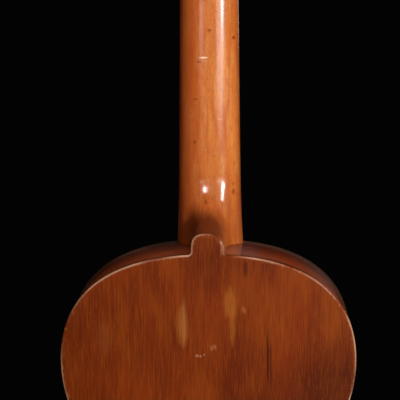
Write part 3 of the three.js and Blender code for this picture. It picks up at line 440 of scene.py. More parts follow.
def neck_and_heel():
    """Neck from the body to the scarf under the head: the treble half of each ring, then the
    bass half mirrored. Its lowest rows follow the shoulder."""
    rises = np.concatenate([
        [0, 1, 2.5, 4], np.linspace(5, 19.2, 16), np.linspace(19.4, 80, 63),
        np.linspace(86, 318, 36)])
    treble, bass = (neck_side(rises, BUTTON_POWERS[side], HEEL_FLARES[side]) for side in (1, -1))
    middle = (treble[:, -1:] + bass[:, -1:]) / 2
    rings = np.concatenate([treble[:, :-1], middle, bass[:, -2::-1] * (-1, 1, 1)], 1)
    half = half_outline(-GLUE_GAP / 2)
    upper = half[half[:, 1] > TAIL_Z + UPPER_BOUT[1]][::-1]
    shoulder = np.interp(np.abs(rings[..., 0]), upper[:, 0], upper[:, 1])
    follow = np.clip(1 - rises / 12, 0, 1)[:, None]
    rings[..., 2] += follow * (shoulder - SHOULDER_Z)
    piece = tube_of("neck_and_heel", rings, "neck_wood", "neck", crease=50)
    keep_side(piece, head_point(0, HEAD_THICKNESS + GLUE_GAP, 0), HEAD_BACK, True)


# Soundboard and rosette

HOLE_RADIUS = 42
ROSETTE = (47, 55)
SADDLE_Z = 152
SCALE = 630
FRET_COUNT = 18


def fret_place(number):
    return NUT_Z - SCALE * (1 - 2 ** (-number / 12))


BOARD_END = fret_place(FRET_COUNT) - 2.7
BOARD_TOP = FRONT_Y - 5
HOLE_Z = BOARD_END - 3 - HOLE_RADIUS


def soundboard():
    """Flat plate between its outline and the sound hole: rings that go from the rounded outer
    edge over the face to the hole's circle and back under it, each point along one ray. A row
    gives the inset from the edge and the share of the way on to the hole, or no inset and the
    distance outside the hole's circle, and then the depth under the face."""
    half = half_outline(-OVERHANG)
    loop = np.vstack([half, half[-2:0:-1] * (-1, 1)])
    ray = unit(loop - (0, HOLE_Z))
    hole = (0, HOLE_Z) + ray * HOLE_RADIUS
    easing, back = 0.5, SOUNDBOARD_THICKNESS
    rows = [(0, 0, back - easing), (0, 0, easing), (0.15, 0, 0.15), (easing, 0, 0), (1.3, 0, 0)]
    rows += [(easing, share, 0) for share in (0.2, 0.4, 0.6, 0.8)]
    rows += [(None, 0.6, 0), (None, 0.1, 0.2), (None, 0, 0.6), (None, 0, back)]
    rows += [(easing, share, back) for share in (0.6, 0.3, 0)]
    rings = []
    for inset, share, depth in rows:
        if inset is None:
            flat = hole + ray * share
        else:
            flat = moved_in(loop, inset)
            flat = flat + (hole - flat) * share
        rings.append(xyz(flat[:, 0], FRONT_Y + depth, flat[:, 1]))
    piece = tube_of("soundboard_plate", rings, "soundboard_wood", "soundboard", ends="joined")
    point_values(piece, "edge", np.repeat([1] * 4 + [0] * (len(rows) - 5) + [1], len(loop)))
    point_values(piece, "inside", np.repeat([0] * (len(rows) - 4) + [1] * 3 + [0], len(loop)))


def rosette():
    """Flat ring let into the soundboard, its edges eased by 0.05 mm."""
    inner, outer = ROSETTE
    profile = [(inner, 0.9), (inner, 0.05), (inner + 0.1, 0),
               (outer - 0.1, 0), (outer, 0.05), (outer, 0.9)]
    turned("rosette_ring", profile, (0, FRONT_Y - 0.02, HOLE_Z), "rosette_inlay", "rosette",
           along="y", steps=128, ends="joined")


# Head

HEAD_LENGTH, HEAD_HALF, HEAD_FLARE, HEAD_CORNER = 168, 35, 13, 14
ROLLER_DEPTH, ROLLER_RADIUS = 8.5, 3.2
ROLLER_RISES = (45, 80, 115)
SLOT_X, SLOT_RADIUS, SLOT_START, SLOT_END = 13.5, 7.5, 17, 132
VENEER = 1.5

# Each tuner's number, side and rise, from the treble's lowest over the top to the bass's lowest
TUNERS = [(number, 1 if number < 4 else -1, ROLLER_RISES[min(number, 7 - number) - 1])
          for number in range(1, 7)]


def power_ring(half_width, depth, power):
    """Half round section: sine and cosine raised to a power, from oval towards a board."""
    section = circle(quarter_turn(36)).clip(0) ** power * (half_width, depth)
    section[-1, 0] = section[0, 1] = 0
    return np.vstack([section, section[-2::-1] * (-1, 1)])


def head_outline():
    """Half widths and rises of the head: an eased flare over the nut, then round corners."""
    share = np.linspace(0, 1, 15)
    eased = share * share * (3 - 2 * share)
    flare = np.stack([NUT_WIDTH / 2 + (HEAD_HALF - NUT_WIDTH / 2) * eased, HEAD_FLARE * share], -1)
    corner = (HEAD_HALF, HEAD_LENGTH) - HEAD_CORNER * (1 - circle(quarter_turn(12)))
    return flare, corner


def slot_cutters():
    """The two string slots, straight between half circles, and their ramps towards the nut."""
    bend = SLOT_RADIUS * circle(np.linspace(0, math.pi, 25))
    loop = np.vstack([bend + (0, SLOT_END - SLOT_RADIUS), -bend + (0, SLOT_START + SLOT_RADIUS)])
    ramp = np.array([[-7, 9], [-1.8, 9], [5, 24.5], [-7, 24.5]])
    rooms = []
    for x in (SLOT_X, -SLOT_X):
        rooms.append(room([head_point(x + loop[:, 0], y, loop[:, 1]) for y in (-7, 24)]))
        rooms.append(room([
            head_point(x + across, ramp[:, 0], ramp[:, 1]) for across in (-7.45, 7.45)]))
    return rooms


def roller_cutters():
    """Round holes for the six rollers, from the slots' inner walls out through the sides."""
    y, z = (ROLLER_RADIUS + GLUE_GAP) * circle(full_turn(32)).T
    return [room([head_point(side * x, ROLLER_DEPTH + y, rise + z) for x in (1.2, 45)])
            for side in (1, -1) for rise in ROLLER_RISES]


def headstock():
    """Head leaning back from the nut: the neck's round section grows into a flat board with
    eased edges, round at the top corners, slotted for the strings and bored for the rollers."""
    flare, corner = head_outline()
    rings = []
    for z in np.linspace(SHOULDER_Z + HEEL_START, NUT_Z - HEAD_THICKNESS / 2, 12):
        x, y = power_ring(neck_width(z) / 2, neck_depth(z), NECK_ROUNDNESS).T
        rings.append(xyz(x, FRONT_Y + y, z))
    for half_width, rise in np.vstack([flare, corner]):
        board = min(1, 0.1 + 0.95 * rise / HEAD_FLARE)
        depth = NUT_DEPTH + (HEAD_THICKNESS - NUT_DEPTH) * board
        x, y = power_ring(half_width, depth, NECK_ROUNDNESS - 0.75 * board).T
        rings.append(head_point(x, y, rise))
    piece = tube_of("head", rings, "neck_wood", "headstock", crease=40)
    keep_side(piece, head_point(0, HEAD_THICKNESS + 0.05, 0), HEAD_BACK, False)
    carve(piece, slot_cutters() + roller_cutters(), crease=40)


def head_veneer():
    """Thin dark leaf on the head's face, its front edge eased."""
    flare, corner = head_outline()
    flare[:, 1] += GLUE_GAP
    half = np.vstack([flare, corner])
    loop = np.vstack([half, half[::-1] * (-1, 1)])
    rings = []
    for inset, y in ((0, -GLUE_GAP / 2), (0, -VENEER), (0.3, -VENEER - GLUE_GAP)):
        x, rise = moved_in(loop, inset).T
        rings.append(head_point(x, y, rise))
    carve(tube_of("head_veneer", rings, "dark_wood", "headstock_veneer"), slot_cutters())


# Fretboard and frets

def fretboard():
    """A tapering board with eased edges, and half-round wires with bevelled ends across it."""
    foot = FRONT_Y - 0.1
    rings = []
    for z, ease, drop in (
            (BOARD_END, 0.1, 0.3), (BOARD_END + 0.4, 0.4, 0), (NUT_Z - GLUE_GAP, 0.4, 0)):
        half, y = neck_width(z) / 2, BOARD_TOP + drop
        side = np.array([
            (half, foot), (half, y + ease), (half - ease * 0.3, y + ease * 0.3), (half - ease, y)])
        section = np.vstack([side, side[::-1] * (-1, 1)])
        rings.append(xyz(section[:, 0], section[:, 1], z))
    tube_of("fretboard_blank", rings, "dark_wood", "fretboard")
    crown = np.vstack([circle(np.linspace(0, math.pi, 13)) * (1, -1), [(-0.5, 0.4), (0.5, 0.4)]])
    for number in range(1, FRET_COUNT + 1):
        z = fret_place(number)
        half = neck_width(z) / 2
        rings = []
        for x, high in ((-half, 0.35), (-half + 0.5, 1), (half - 0.5, 1), (half, 0.35)):
            rise = crown[:, 1] * np.where(crown[:, 1] < 0, high, 1)
            rings.append(xyz(x, BOARD_TOP + rise, z + crown[:, 0]))
        tube_of(f"fret_wire_{number}", rings, "tuner_metal")


# Bridge, saddle and pins

STRING_X_SADDLE = [56 * (0.5 - n / 5) for n in range(6)]
STRING_X_NUT = [39 * (0.5 - n / 5) for n in range(6)]
STRING_RADII = [1.1 * share / 2 for share in (0.64, 0.73, 0.93, 0.68, 0.82, 1)]
BRIDGE_HEIGHT = 8.5
BRIDGE_TOP = FRONT_Y - BRIDGE_HEIGHT
BRIDGE_LOW_Z = SADDLE_Z - 19
SADDLE_TOP = BRIDGE_TOP - 2.6
PIN_Z = SADDLE_Z - 12
PIN_BORE = 2.85


def smooth_steps(value, places, heights):
    """Heights between places, eased at both ends of each step."""
    places, heights = np.asarray(places, float), np.asarray(heights, float)
    step = np.clip(np.searchsorted(places, value, side="right") - 1, 0, len(places) - 2)
    share = np.clip((value - places[step]) / (places[step + 1] - places[step]), 0, 1)
    return heights[step] + (heights[step + 1] - heights[step]) * share * share * (3 - 2 * share)


def bridge():
    """A bridge with thin wings: its height is the lesser of a profile along it and one across,
    with the change between them softened over a millimetre."""
    wing = np.linspace(37, 75, 40)
    x = np.concatenate([-wing[::-1], np.linspace(-30, 30, 5), wing])[:, None]
    z = np.concatenate([np.linspace(0, 4.5, 10), [12], np.linspace(22, 25, 8)])[None]
    along = smooth_steps(
        np.abs(x), [0, 38.5, 46.5, 71, 75], [BRIDGE_HEIGHT, BRIDGE_HEIGHT, 3.5, 3.5, 1.3])
    across = smooth_steps(z, [-1.5, 4.5, 22, 25.4], [0.2, BRIDGE_HEIGHT, BRIDGE_HEIGHT, 1])
    soft = 1
    height = (along + across - np.sqrt((along - across) ** 2 + soft ** 2) + soft) / 2
    foot = FRONT_Y - 0.1
    top = xyz(x, foot - 0.2 - np.minimum(height, BRIDGE_HEIGHT), BRIDGE_LOW_Z + z)
    below = xyz(x, foot, BRIDGE_LOW_Z + z[:, ::-1])
    piece = tube_of("bridge_carved", np.concatenate([top, below], 1), "dark_wood", "bridge",
                    crease=50, finish=cross_black)
    slot = rectangle(33.2, 1.6)
    rooms = [room([xyz(slot[:, 0], y, SADDLE_Z + slot[:, 1]) for y in (-60, BRIDGE_TOP + 5.3)])]
    bore = PIN_BORE * circle(full_turn(24))
    for pin_x in STRING_X_SADDLE:
        rooms.append(room([xyz(pin_x + bore[:, 0], y, PIN_Z + bore[:, 1]) for y in (-60, -40)]))
    carve(piece, rooms, crease=50)


def saddle():
    """A bone strip in its slot: a section with a round top carried along, its ends eased."""
    foot = BRIDGE_TOP + 5
    rings = []
    for x, inset in ((-33, 0.3), (-32.7, 0), (32.7, 0), (33, 0.3)):
        half = 1.3 - inset
        crown = circle(np.linspace(0, math.pi, 13)) * (half, -0.9) + (0, SADDLE_TOP + inset + 0.9)
        section = np.vstack([crown, [(-half, foot - inset), (half, foot - inset)]])
        rings.append(xyz(x, section[:, 1], SADDLE_Z + section[:, 0]))
    tube_of("saddle_bone", rings, "bone", "saddle")


def bridge_pins():
    """Tapering pins with ball heads, fluted on the saddle's side for their strings."""
    head = circle(np.linspace(-0.3, math.pi / 2, 12)) * (3.5, -1.6) + (0.2, -2)
    profile = np.vstack([
        [(0.4, 19), (1.9, 18.8), (2.1, 18.4), (2.7, 0.2), (2.9, 0), (3.2, -0.4)], head])
    flute = rectangle(0.85, 3.5) + (0, PIN_Z + 4.5)
    seat = BRIDGE_TOP - GLUE_GAP
    for number, x in enumerate(STRING_X_SADDLE, 1):
        pin = turned(f"ball_pin_{number}", profile, (x, seat, PIN_Z), "bone",
                     f"bridge_pin_{number}", along="y", steps=32)
        carve(pin, [room([xyz(x + flute[:, 0], seat + y, flute[:, 1]) for y in (-2.2, 24)])])


def end_pin():
    """A turned button at the tail, its face flat and its neck waisted."""
    head = (5.5, 1.5) + circle(quarter_turn(6))[:, ::-1] * (1.5, -1.5)
    profile = np.vstack([
        [(0.5, 0), (5, 0)], head,
        [(7, 4), (6.6, 5), (5.4, 6.2), (4.6, 7.4), (4.3, 8.6), (4.4, 10), (5, 11.2), (5.7, 11.7)],
        [(3.5, 11.75), (3.5, 27.5), (0.5, 28)]])
    turned("end_button", profile, (0, 0, 0), "dark_wood", "end_pin")


# Strings and their windings

def rounded_route(corners, reach=2):
    """A route through corners, each rounded by a short quadratic curve."""
    corners = np.asarray(corners, float)
    route = [corners[0]]
    t = np.linspace(0, 1, 7)[:, None]
    for before, corner, after in zip(corners, corners[1:], corners[2:]):
        legs = [np.linalg.norm(corner - before), np.linalg.norm(after - corner)]
        back = corner + (before - corner) / legs[0] * min(reach, legs[0] * 0.45)
        ahead = corner + (after - corner) / legs[1] * min(reach, legs[1] * 0.45)
        route.extend((1 - t) ** 2 * back + 2 * t * (1 - t) * corner + t ** 2 * ahead)
    route.append(corners[-1])
    return np.array(route)


def string_tube(name, route, radius, slot, sides=12, **how):
    """A round tube along a route that never runs along X, so X squares its section."""
    way = unit(np.gradient(route, axis=0))
    beside = unit((1, 0, 0) - way[:, :1] * way)
    over = np.cross(way, beside)
    cosine, sine = circle(full_turn(sides)).T[..., None]
    rings = route[:, None] + radius * (cosine * beside[:, None] + sine * over[:, None])
    tube_of(name, rings, slot, crease=60, **how)


def strings():
    """Each string from its pin over the saddle and the nut to the front of its roller, and its
    winding, a helix of three and a half turns, which turns with the roller. It starts 16.5,
    13.5 or 12.9 mm from the head's middle."""
    winding_starts = dict(zip(ROLLER_RISES, (16.5, 13.5, 12.9)))
    over_nut = BOARD_TOP - 2.05
    turn = np.linspace(0, 7 * math.pi, 127)
    for (number, side, rise), radius, x, nut_x in zip(
            TUNERS, STRING_RADII, STRING_X_SADDLE, STRING_X_NUT):
        roller_x = side * winding_starts[rise]
        anchor_z = PIN_Z + 1 + GLUE_GAP + radius
        wrap = ROLLER_RADIUS + radius + 0.05
        corners = [
            (x, FRONT_Y + 5.3, anchor_z), (x, BRIDGE_TOP - radius, anchor_z),
            (x, SADDLE_TOP - GLUE_GAP - radius, SADDLE_Z), (nut_x, over_nut, NUT_Z + 1.25),
            head_point(roller_x, ROLLER_DEPTH - wrap, rise),
        ]
        slot = "gut" if side == 1 else "wound_string"
        string_tube(f"string_run_{number}", rounded_route(corners), radius, slot,
                    stands_for=f"string_{number}")
        pitch = 2.05 * radius
        along = roller_x - side * pitch * turn / (2 * math.pi)
        helix = head_point(along, ROLLER_DEPTH - wrap * np.cos(turn), rise + wrap * np.sin(turn))
        string_tube(f"winding_{number}", helix, radius, slot, sides=10, body=f"roller_{number}")


# Tuning machines

WORM_X = 40.5
GEAR_TEETH, THREAD_PITCH = 14, 2.4
GEAR_PITCH_RADIUS = GEAR_TEETH * THREAD_PITCH / (2 * math.pi)
WORM_DISTANCE = GEAR_PITCH_RADIUS + 2.6


def screw_slot(piece, reaches, half_wide, side, rise, lean, crease=35):
    """Cuts a slot, turned by its lean, into a screw's head on the side of the guitar's head."""
    box = rectangle(3, half_wide)
    y = ROLLER_DEPTH + box[:, 0] * math.cos(lean) - box[:, 1] * math.sin(lean)
    z = rise + box[:, 0] * math.sin(lean) + box[:, 1] * math.cos(lean)
    carve(piece, [room([head_point(side * reach, y, z) for reach in reaches])], crease)


def rollers():
    """A roller, its gear and the gear's screw as one turned form: rings along X, where the
    gear's radius swings between root and tip once for each tooth."""
    turn = full_turn(GEAR_TEETH * 12)
    phase = np.abs(((turn * GEAR_TEETH / (2 * math.pi)) + 0.5) % 1 - 0.5) * 2
    tooth = 1 - np.clip((phase - 0.28) / 0.34, 0, 1)
    root, tooth_height = GEAR_PITCH_RADIUS - 0.85, 1.45
    gear = root + tooth_height * tooth
    rows = [
        (1.5, 2.6), (1.8, 3), (2.2, ROLLER_RADIUS), (12, ROLLER_RADIUS), (22, ROLLER_RADIUS),
        (38.6, ROLLER_RADIUS), (39.1, 3.4),
        (39.2, gear - 0.25), (39.4, gear), (41.6, gear), (41.8, gear - 0.25),
        (41.8, 3.6), (41.8, 2.4), (42.4, 2.35), (42.7, 2.1), (42.88, 1.4), (42.9, 0.6),
    ]
    for number, side, rise in TUNERS:
        rings = [head_point(side * x, ROLLER_DEPTH + radius * np.sin(turn),
                            rise + radius * np.cos(turn))
                 for x, radius in rows]
        piece = tube_of(f"roller_and_gear_{number}", rings, "tuner_metal", f"tuner_roller_{number}",
                        body=f"roller_{number}", crease=30)
        screw_slot(piece, (42.4, 44), 0.3, side, rise, math.asin(0.6), crease=30)


def worms():
    """A right-hand thread on a plain shaft: the radius depends on the way along the axis to the
    nearest turn of the ridge, whose middle faces the gear."""
    turn = full_turn(32)
    half_thread = 4.8
    threaded = np.linspace(-half_thread, half_thread, 97)
    height = np.concatenate([[-8, -7.9, -4.9], threaded, [4.9, 17.4, 17.5]])[:, None]
    nearest = np.abs((height / THREAD_PITCH - (turn - math.pi) / (2 * math.pi) + 0.5) % 1 - 0.5)
    ridge = 1 - np.clip((nearest * THREAD_PITCH - 0.2) / 0.3, 0, 1)
    fade = np.clip((half_thread - np.abs(height)) / 0.6, 0, 1)
    shaft, root, ridge_height = 1.5, 1.9, 1.4
    radius = root + ridge_height * ridge * fade
    radius[np.abs(height[:, 0]) > half_thread + 0.05] = shaft
    radius[[0, -1]] = shaft - 0.1
    for number, side, rise in TUNERS:
        rings = head_point(side * WORM_X + radius * np.sin(turn), ROLLER_DEPTH + height,
                           rise + WORM_DISTANCE + radius * np.cos(turn))
        tube_of(f"worm_shaft_{number}", rings, "tuner_metal", f"tuner_worm_{number}",
                body=f"knob_{number}", crease=45)


def knobs():
    """A flat oval button on its shaft: oval rings whose width and thickness follow smooth
    curves along it, with a short round collar where the shaft goes in."""
    share, wide, thick = np.array([
        [0, 0.03, 0.12, 0.2, 0.3, 0.42, 0.54, 0.66, 0.78, 0.88, 0.95, 0.985, 1],
        [0.3, 0.35, 0.42, 0.6, 0.84, 0.97, 1, 0.97, 0.86, 0.68, 0.45, 0.26, 0.1],
        [0.5, 0.56, 0.56, 0.7, 0.86, 0.97, 1, 0.96, 0.82, 0.6, 0.38, 0.22, 0.1],
    ])[..., None]
    half_wide, half_thick, foot, length = 7.5, 4, 21, 17
    turn = full_turn(48)
    for number, side, rise in TUNERS:
        rings = head_point(side * WORM_X + half_thick * thick * np.cos(turn), foot + length * share,
                           rise + WORM_DISTANCE + half_wide * wide * np.sin(turn))
        tube_of(f"oval_button_{number}", rings, "bone", f"tuner_button_{number}",
                body=f"knob_{number}", crease=60, finish=knob_finish)


def plate_screws():
    """Round-headed screws that hold the two plates to the sides of the head."""
    dome = circle(quarter_turn(6)) * (1.9, 0.8)
    dome[-1, 0] = 0.15
    plate_face, slot_floor = 36.5, 36.95
    around = full_turn(24)
    for side, name in ((1, "treble"), (-1, "bass")):
        for place, rise in enumerate((37.5, 66, 101, 131)):
            rings = [head_point(side * (plate_face + out), ROLLER_DEPTH + radius * np.cos(around),
                                rise + radius * np.sin(around))
                     for radius, out in [(1.9, -0.1), *dome]]
            piece = tube_of(f"plate_screw_{name}_{place + 1}", rings, "tuner_metal")
            screw_slot(piece, (slot_floor, 39), 0.22, side, rise, 0.5 + place * 0.9)


# Materials

def linear(hex_colour):
    """An sRGB hex colour as linear red, green, blue and full alpha."""
    channels = [int(hex_colour[place:place + 2], 16) / 255 for place in (1, 3, 5)]
    bent = [c / 12.92 if c <= 0.04045 else ((c + 0.055) / 1.055) ** 2.4 for c in channels]
    return (*bent, 1.0)


def node(tree, kind, inputs=None, **settings):
    """Adds one node with its settings. Each input takes a value, a hex colour or a link."""
    made = tree.nodes.new(kind)
    for key, value in settings.items():
        setattr(made, key, value)
    for key, value in (inputs or {}).items():
        if isinstance(value, bpy.types.NodeSocket):
            tree.links.new(value, made.inputs[key])
        else:
            made.inputs[key].default_value = linear(value) if isinstance(value, str) else value
    return made


def new_finish(name, turn=None, **constants):
    """A material with one Principled shader, its constants set on the shader's own sockets, and
    the place that its patterns read: Object coordinates in metres, turned where asked."""
    material = bpy.data.materials.new(name)
    material.use_nodes = True
    tree = material.node_tree
    tree.nodes.clear()
    shader = node(tree, "ShaderNodeBsdfPrincipled", {
        key.replace("_", " "): value for key, value in constants.items()})
    node(tree, "ShaderNodeOutputMaterial", {"Surface": shader.outputs[0]})
    where = node(tree, "ShaderNodeTexCoord").outputs["Object"]
    if turn:
        where = node(tree, "ShaderNodeMapping", {"Vector": where, "Rotation": turn}).outputs[0]
    return material, tree, shader, where


def patches(tree, where, size, low, high, strength=1.0):
    """Noise with patches of a size in millimetres along X, Y and Z, as a cover that grows from
    nothing at its low value to its strength, a number or another cover, at its high one."""
    spread = node(tree, "ShaderNodeMapping", {
        "Vector": where, "Scale": [1000 / part for part in size]})
    noise = node(tree, "ShaderNodeTexNoise", {
        "Vector": spread.outputs[0], "Scale": 1.0, "Detail": 2.0})
    cover = node(tree, "ShaderNodeMapRange", {
        "Value": noise.outputs[0], "From Min": low, "From Max": high, "To Max": strength})
    return cover.outputs[0]


def by_attribute(tree, name, low, high, strength=1.0):
    """A cover that grows from one value of a piece's stored numbers to another."""
    stored = node(tree, "ShaderNodeAttribute", attribute_name=name)
    cover = node(tree, "ShaderNodeMapRange", {
        "Value": stored.outputs["Fac"], "From Min": low, "From Max": high, "To Max": strength})
    return cover.outputs[0]


def oval(tree, where, middle, half, strength):
    """A cover that falls from its strength inside an oval to nothing outside it, with the
    distance from the oval's middle, counted in half sizes, all in millimetres."""
    local = node(tree, "ShaderNodeMapping", {
        "Vector": where,
        "Location": [part * MM for part in middle],
        "Scale": [part * MM for part in half],
    }, vector_type="TEXTURE")
    ball = node(
        tree, "ShaderNodeTexGradient", {"Vector": local.outputs[0]}, gradient_type="SPHERICAL")
    cover = node(tree, "ShaderNodeMapRange", {
        "Value": ball.outputs[1], "From Max": 0.5, "To Max": strength})
    return cover.outputs[0]


def layered(tree, colour, layers):
    """Colours laid one over another, each as far as its cover says."""
    for cover, stain in layers:
        mix = node(tree, "ShaderNodeMix", {0: cover, 6: colour, 7: stain}, data_type="RGBA")
        colour = mix.outputs[2]
    return colour


def stained(tree, where, colour, stains):
    """Stains in patches: their size, low and high value, colour and strength."""
    return layered(tree, colour, [
        (patches(tree, where, size, low, high, strength), stain)
        for size, low, high, stain, strength in stains])


def marked(tree, where, colour, marks):
    """Soft oval marks: their middle and half sizes in millimetres, colour and strength."""
    return layered(tree, colour, [
        (oval(tree, where, middle, half, strength), stain)
        for middle, half, stain, strength in marks])


def frayed(tree, where, reach):
    """Coordinates pushed about by fine noise, by up to a reach in millimetres along each axis."""
    spread = node(tree, "ShaderNodeMapping", {"Vector": where, "Scale": (500, 60, 90)})
    noise = node(tree, "ShaderNodeTexNoise", {
        "Vector": spread.outputs[0], "Scale": 1.0, "Detail": 2.0})
    push = node(tree, "ShaderNodeVectorMath", {
        0: noise.outputs["Color"], 1: (0.5, 0.5, 0.5)}, operation="SUBTRACT")
    pushed = node(tree, "ShaderNodeVectorMath", {
        0: push.outputs[0], 1: [part * 2 * MM for part in reach], 2: where,
    }, operation="MULTIPLY_ADD")
    return pushed.outputs[0]


def set_surface(tree, shader, colour, cover, smooth, dull, height=None, depth=None):
    """Links the colour, the roughness between two values by a cover, and the bump in
    millimetres by a height between 0 and 1."""
    tree.links.new(colour, shader.inputs["Base Color"])
    spread = node(tree, "ShaderNodeMapRange", {"Value": cover, "To Min": smooth, "To Max": dull})
    tree.links.new(spread.outputs[0], shader.inputs["Roughness"])
    if depth:
        bump = node(tree, "ShaderNodeBump", {
            "Height": height, "Strength": 1.0, "Distance": depth * MM})
        tree.links.new(bump.outputs[0], shader.inputs["Normal"])


def plain_finish(name, base, stains, grain, smooth, dull, depth=None, relief=None, turn=None,
                 **constants):
    """A finish of stains over a base colour. Its grain, patches given by size, low and high
    value, sets the roughness and, unless there is another relief, the bump."""
    material, tree, shader, where = new_finish(name, turn, **constants)
    cover = patches(tree, where, *grain)
    height = patches(tree, where, *relief) if relief else cover
    colour = stained(tree, where, base, stains)
    set_surface(tree, shader, colour, cover, smooth, dull, height, depth)
    return material


def bare_inside(tree, where, colour):
    """The unvarnished inner face that shows through the sound hole, by the stored "inside"."""
    bare = stained(tree, where, "#c19a63", [
        ((1.4, 30, 40), 0.45, 0.7, "#a57c48", 0.6), ((30, 40, 60), 0.45, 0.65, "#8f6c43", 0.4)])
    return layered(tree, colour, [(by_attribute(tree, "inside", 0.4, 0.6), bare)])


def french_polished_back():
    """Old birch, French polished: a dark orange-brown film in which fine upright fibres and
    broad cloudy patches show. The polish is worn to pale wood along the edge and in two long
    patches by the player's coat, and one board has a dry crack. It is drawn with fibres of
    about 0.9 mm, coarser than the real 0.3 mm, so that they show."""
    material, tree, shader, where = new_finish(
        "french_polished_back", IOR=1.5, Specular_IOR_Level=0.08,
        Coat_Weight=0.2, Coat_Roughness=0.12, Coat_IOR=1.5)
    colour = stained(tree, where, "#7a2b04", [
        ((34, 60, 80), 0.4, 0.62, "#571a01", 0.55),
        ((26, 60, 62), 0.48, 0.68, "#944306", 0.55),
        ((4.2, 40, 60), 0.46, 0.68, "#8c3d06", 0.36),
        ((3.2, 40, 40), 0.48, 0.7, "#591c02", 0.32),
    ])
    # Painted shade: the first three marks darken the lower part of the back; the last darkens the
    # button.
    low_shade_and_button_cloud = [
        ((-108, 39, 342), (70, 40, 62), "#481401", 0.75),
        ((-28, 39, 345), (34, 40, 80), "#561901", 0.55),
        ((108, 39, 350), (36, 40, 80), "#561901", 0.4),
        ((0, 50, 474), (22, 40, 22), "#571a01", 0.4),
    ]
    worn_patches = [
        ((20.6, 39, 411), (6.4, 40, 19), "#a2581c", 0.54),
        ((20, 39, 413), (3.2, 40, 24), "#b4713a", 0.36),
        ((-18.4, 39, 430), (7, 40, 16), "#a2581c", 0.65),
        ((-19.3, 39, 412), (3.8, 40, 20), "#a2581c", 0.5),
        ((-29, 39, 423.6), (1.8, 40, 4), "#a8602a", 0.5),
        ((-11.6, 50, 476), (2.6, 40, 10), "#bd8468", 0.5),
        ((83.6, 39, 400), (7, 40, 16), "#8a4620", 0.34),
        ((-4, 39, 393.3), (3.2, 40, 3.2), "#a8663a", 0.6),
    ]
    dots = [
        ((8.9, 39, 386.8), (1.7, 40, 1.6), "#b9795a", 0.62),
        ((6, 39, 386.4), (1.4, 40, 1.3), "#b9795a", 0.6),
        ((3.1, 39, 387.6), (1, 40, 1.2), "#b9795a", 0.5),
    ]
    cracks_and_button_shadow = [
        ((-48.2, 39, 384), (1.1, 40, 30), "#2c0b02", 0.8),
        ((-50.6, 39, 379), (1, 40, 28), "#3a1003", 0.5),
        ((-30.3, 37, 457.2), (2.4, 40, 9), "#330d02", 0.6),
        # Painted shadow: a dark line along the button's top, where the heel meets it.
        ((0, 50, 486), (15, 12, 3.5), "#3a1205", 0.35),
    ]
    colour = marked(tree, where, colour, low_shade_and_button_cloud)
    colour = marked(tree, frayed(tree, where, (2.2, 0, 7)), colour, worn_patches)
    colour = marked(tree, where, colour, dots)
    colour = stained(tree, where, colour, [
        ((0.9, 30, 14), 0.48, 0.74, "#924006", 0.5),
        ((0.8, 30, 18), 0.48, 0.72, "#4c1501", 0.45),
        ((1.6, 30, 2.2), 0.62, 0.74, "#9c5014", 0.2),
    ])
    colour = marked(tree, frayed(tree, where, (0.5, 0, 2)), colour, cracks_and_button_shadow)
    colour = stained(tree, where, colour, [
        ((34, 34, 34), 0.36, 0.62, "#c48e6c", by_attribute(tree, "rim", 1.6, 0.6)),
        ((2.2, 20, 2.6), 0.54, 0.66, "#b97c50", by_attribute(tree, "rim", 3.4, 1.0, 0.35)),
    ])
    fibres = patches(tree, where, (0.8, 30, 12), 0.3, 0.75)
    set_surface(tree, shader, bare_inside(tree, where, colour), fibres, 0.38, 0.56, fibres, 0.03)
    return material


def french_polished_rib():
    """The same birch bent round the sides, glossier where no coat has rubbed it, and darkened by
    painted shade away from the back, with a painted shadow under the back's edge and a painted
    reflection beside the heel. Its fibres run along the bend, by the stored distances along it
    and from the back."""
    material, tree, shader, in_place = new_finish(
        "french_polished_rib", IOR=1.5, Specular_IOR_Level=0.15,
        Coat_Weight=0.5, Coat_Roughness=0.14, Coat_IOR=1.5)
    across, along = (
        node(tree, "ShaderNodeAttribute", attribute_name=name).outputs["Fac"]
        for name in ("across", "along"))
    place = node(tree, "ShaderNodeCombineXYZ", {"X": across, "Z": along})
    scaled = node(
        tree, "ShaderNodeVectorMath", {0: place.outputs[0], "Scale": MM}, operation="SCALE")
    where = scaled.outputs[0]
    colour = stained(tree, where, "#9c3c12", [
        ((26, 60, 80), 0.42, 0.62, "#782408", 0.6),
        ((18, 60, 50), 0.5, 0.68, "#b85018", 0.5),
        ((3.6, 40, 40), 0.48, 0.68, "#a65520", 0.4),
        ((0.9, 30, 14), 0.5, 0.68, "#561a04", 0.55),
        ((1.0, 30, 10), 0.52, 0.72, "#ad662e", 0.35),
    ])
    # Painted reflection: a greyish sheen on the bass rib beside the heel.
    colour = marked(tree, in_place, colour, [
        ((-27, 10, 466), (19, 90, 16), "#97706a", 0.4),
        ((-45, 30, 462), (24, 60, 16), "#8a4a3c", 0.3),
    ])
    # Painted shade: the rib darkens away from the back towards the soundboard, and a painted shadow
    # lies on it just under the back's overhang.
    colour = layered(tree, colour, [
        (by_attribute(tree, "across", 8, 70, 0.88), "#340802"),
        (by_attribute(tree, "across", 4.5, 0.5, 0.9), "#1c0602"),
    ])
    # Painted shadow: a dark band on the rib just under the back's edge, round the shoulders.
    shadow_under_edge = [
        ((0, 27, 467), (120, 9, 60), "#0c0201", 0.85),
        ((74, 25, 446), (50, 11, 50), "#0c0201", 0.8),
        ((-74, 25, 446), (50, 11, 50), "#0c0201", 0.8),
    ]
    colour = marked(tree, in_place, colour, shadow_under_edge)
    colour = stained(tree, where, colour, [
        ((9, 20, 14), 0.5, 0.66, "#1c0602", by_attribute(tree, "across", 60, 74, 0.6))])
    fibres = patches(tree, where, (0.8, 30, 12), 0.3, 0.75)
    set_surface(tree, shader, bare_inside(tree, where, colour), fibres, 0.32, 0.46, fibres, 0.025)
    return material


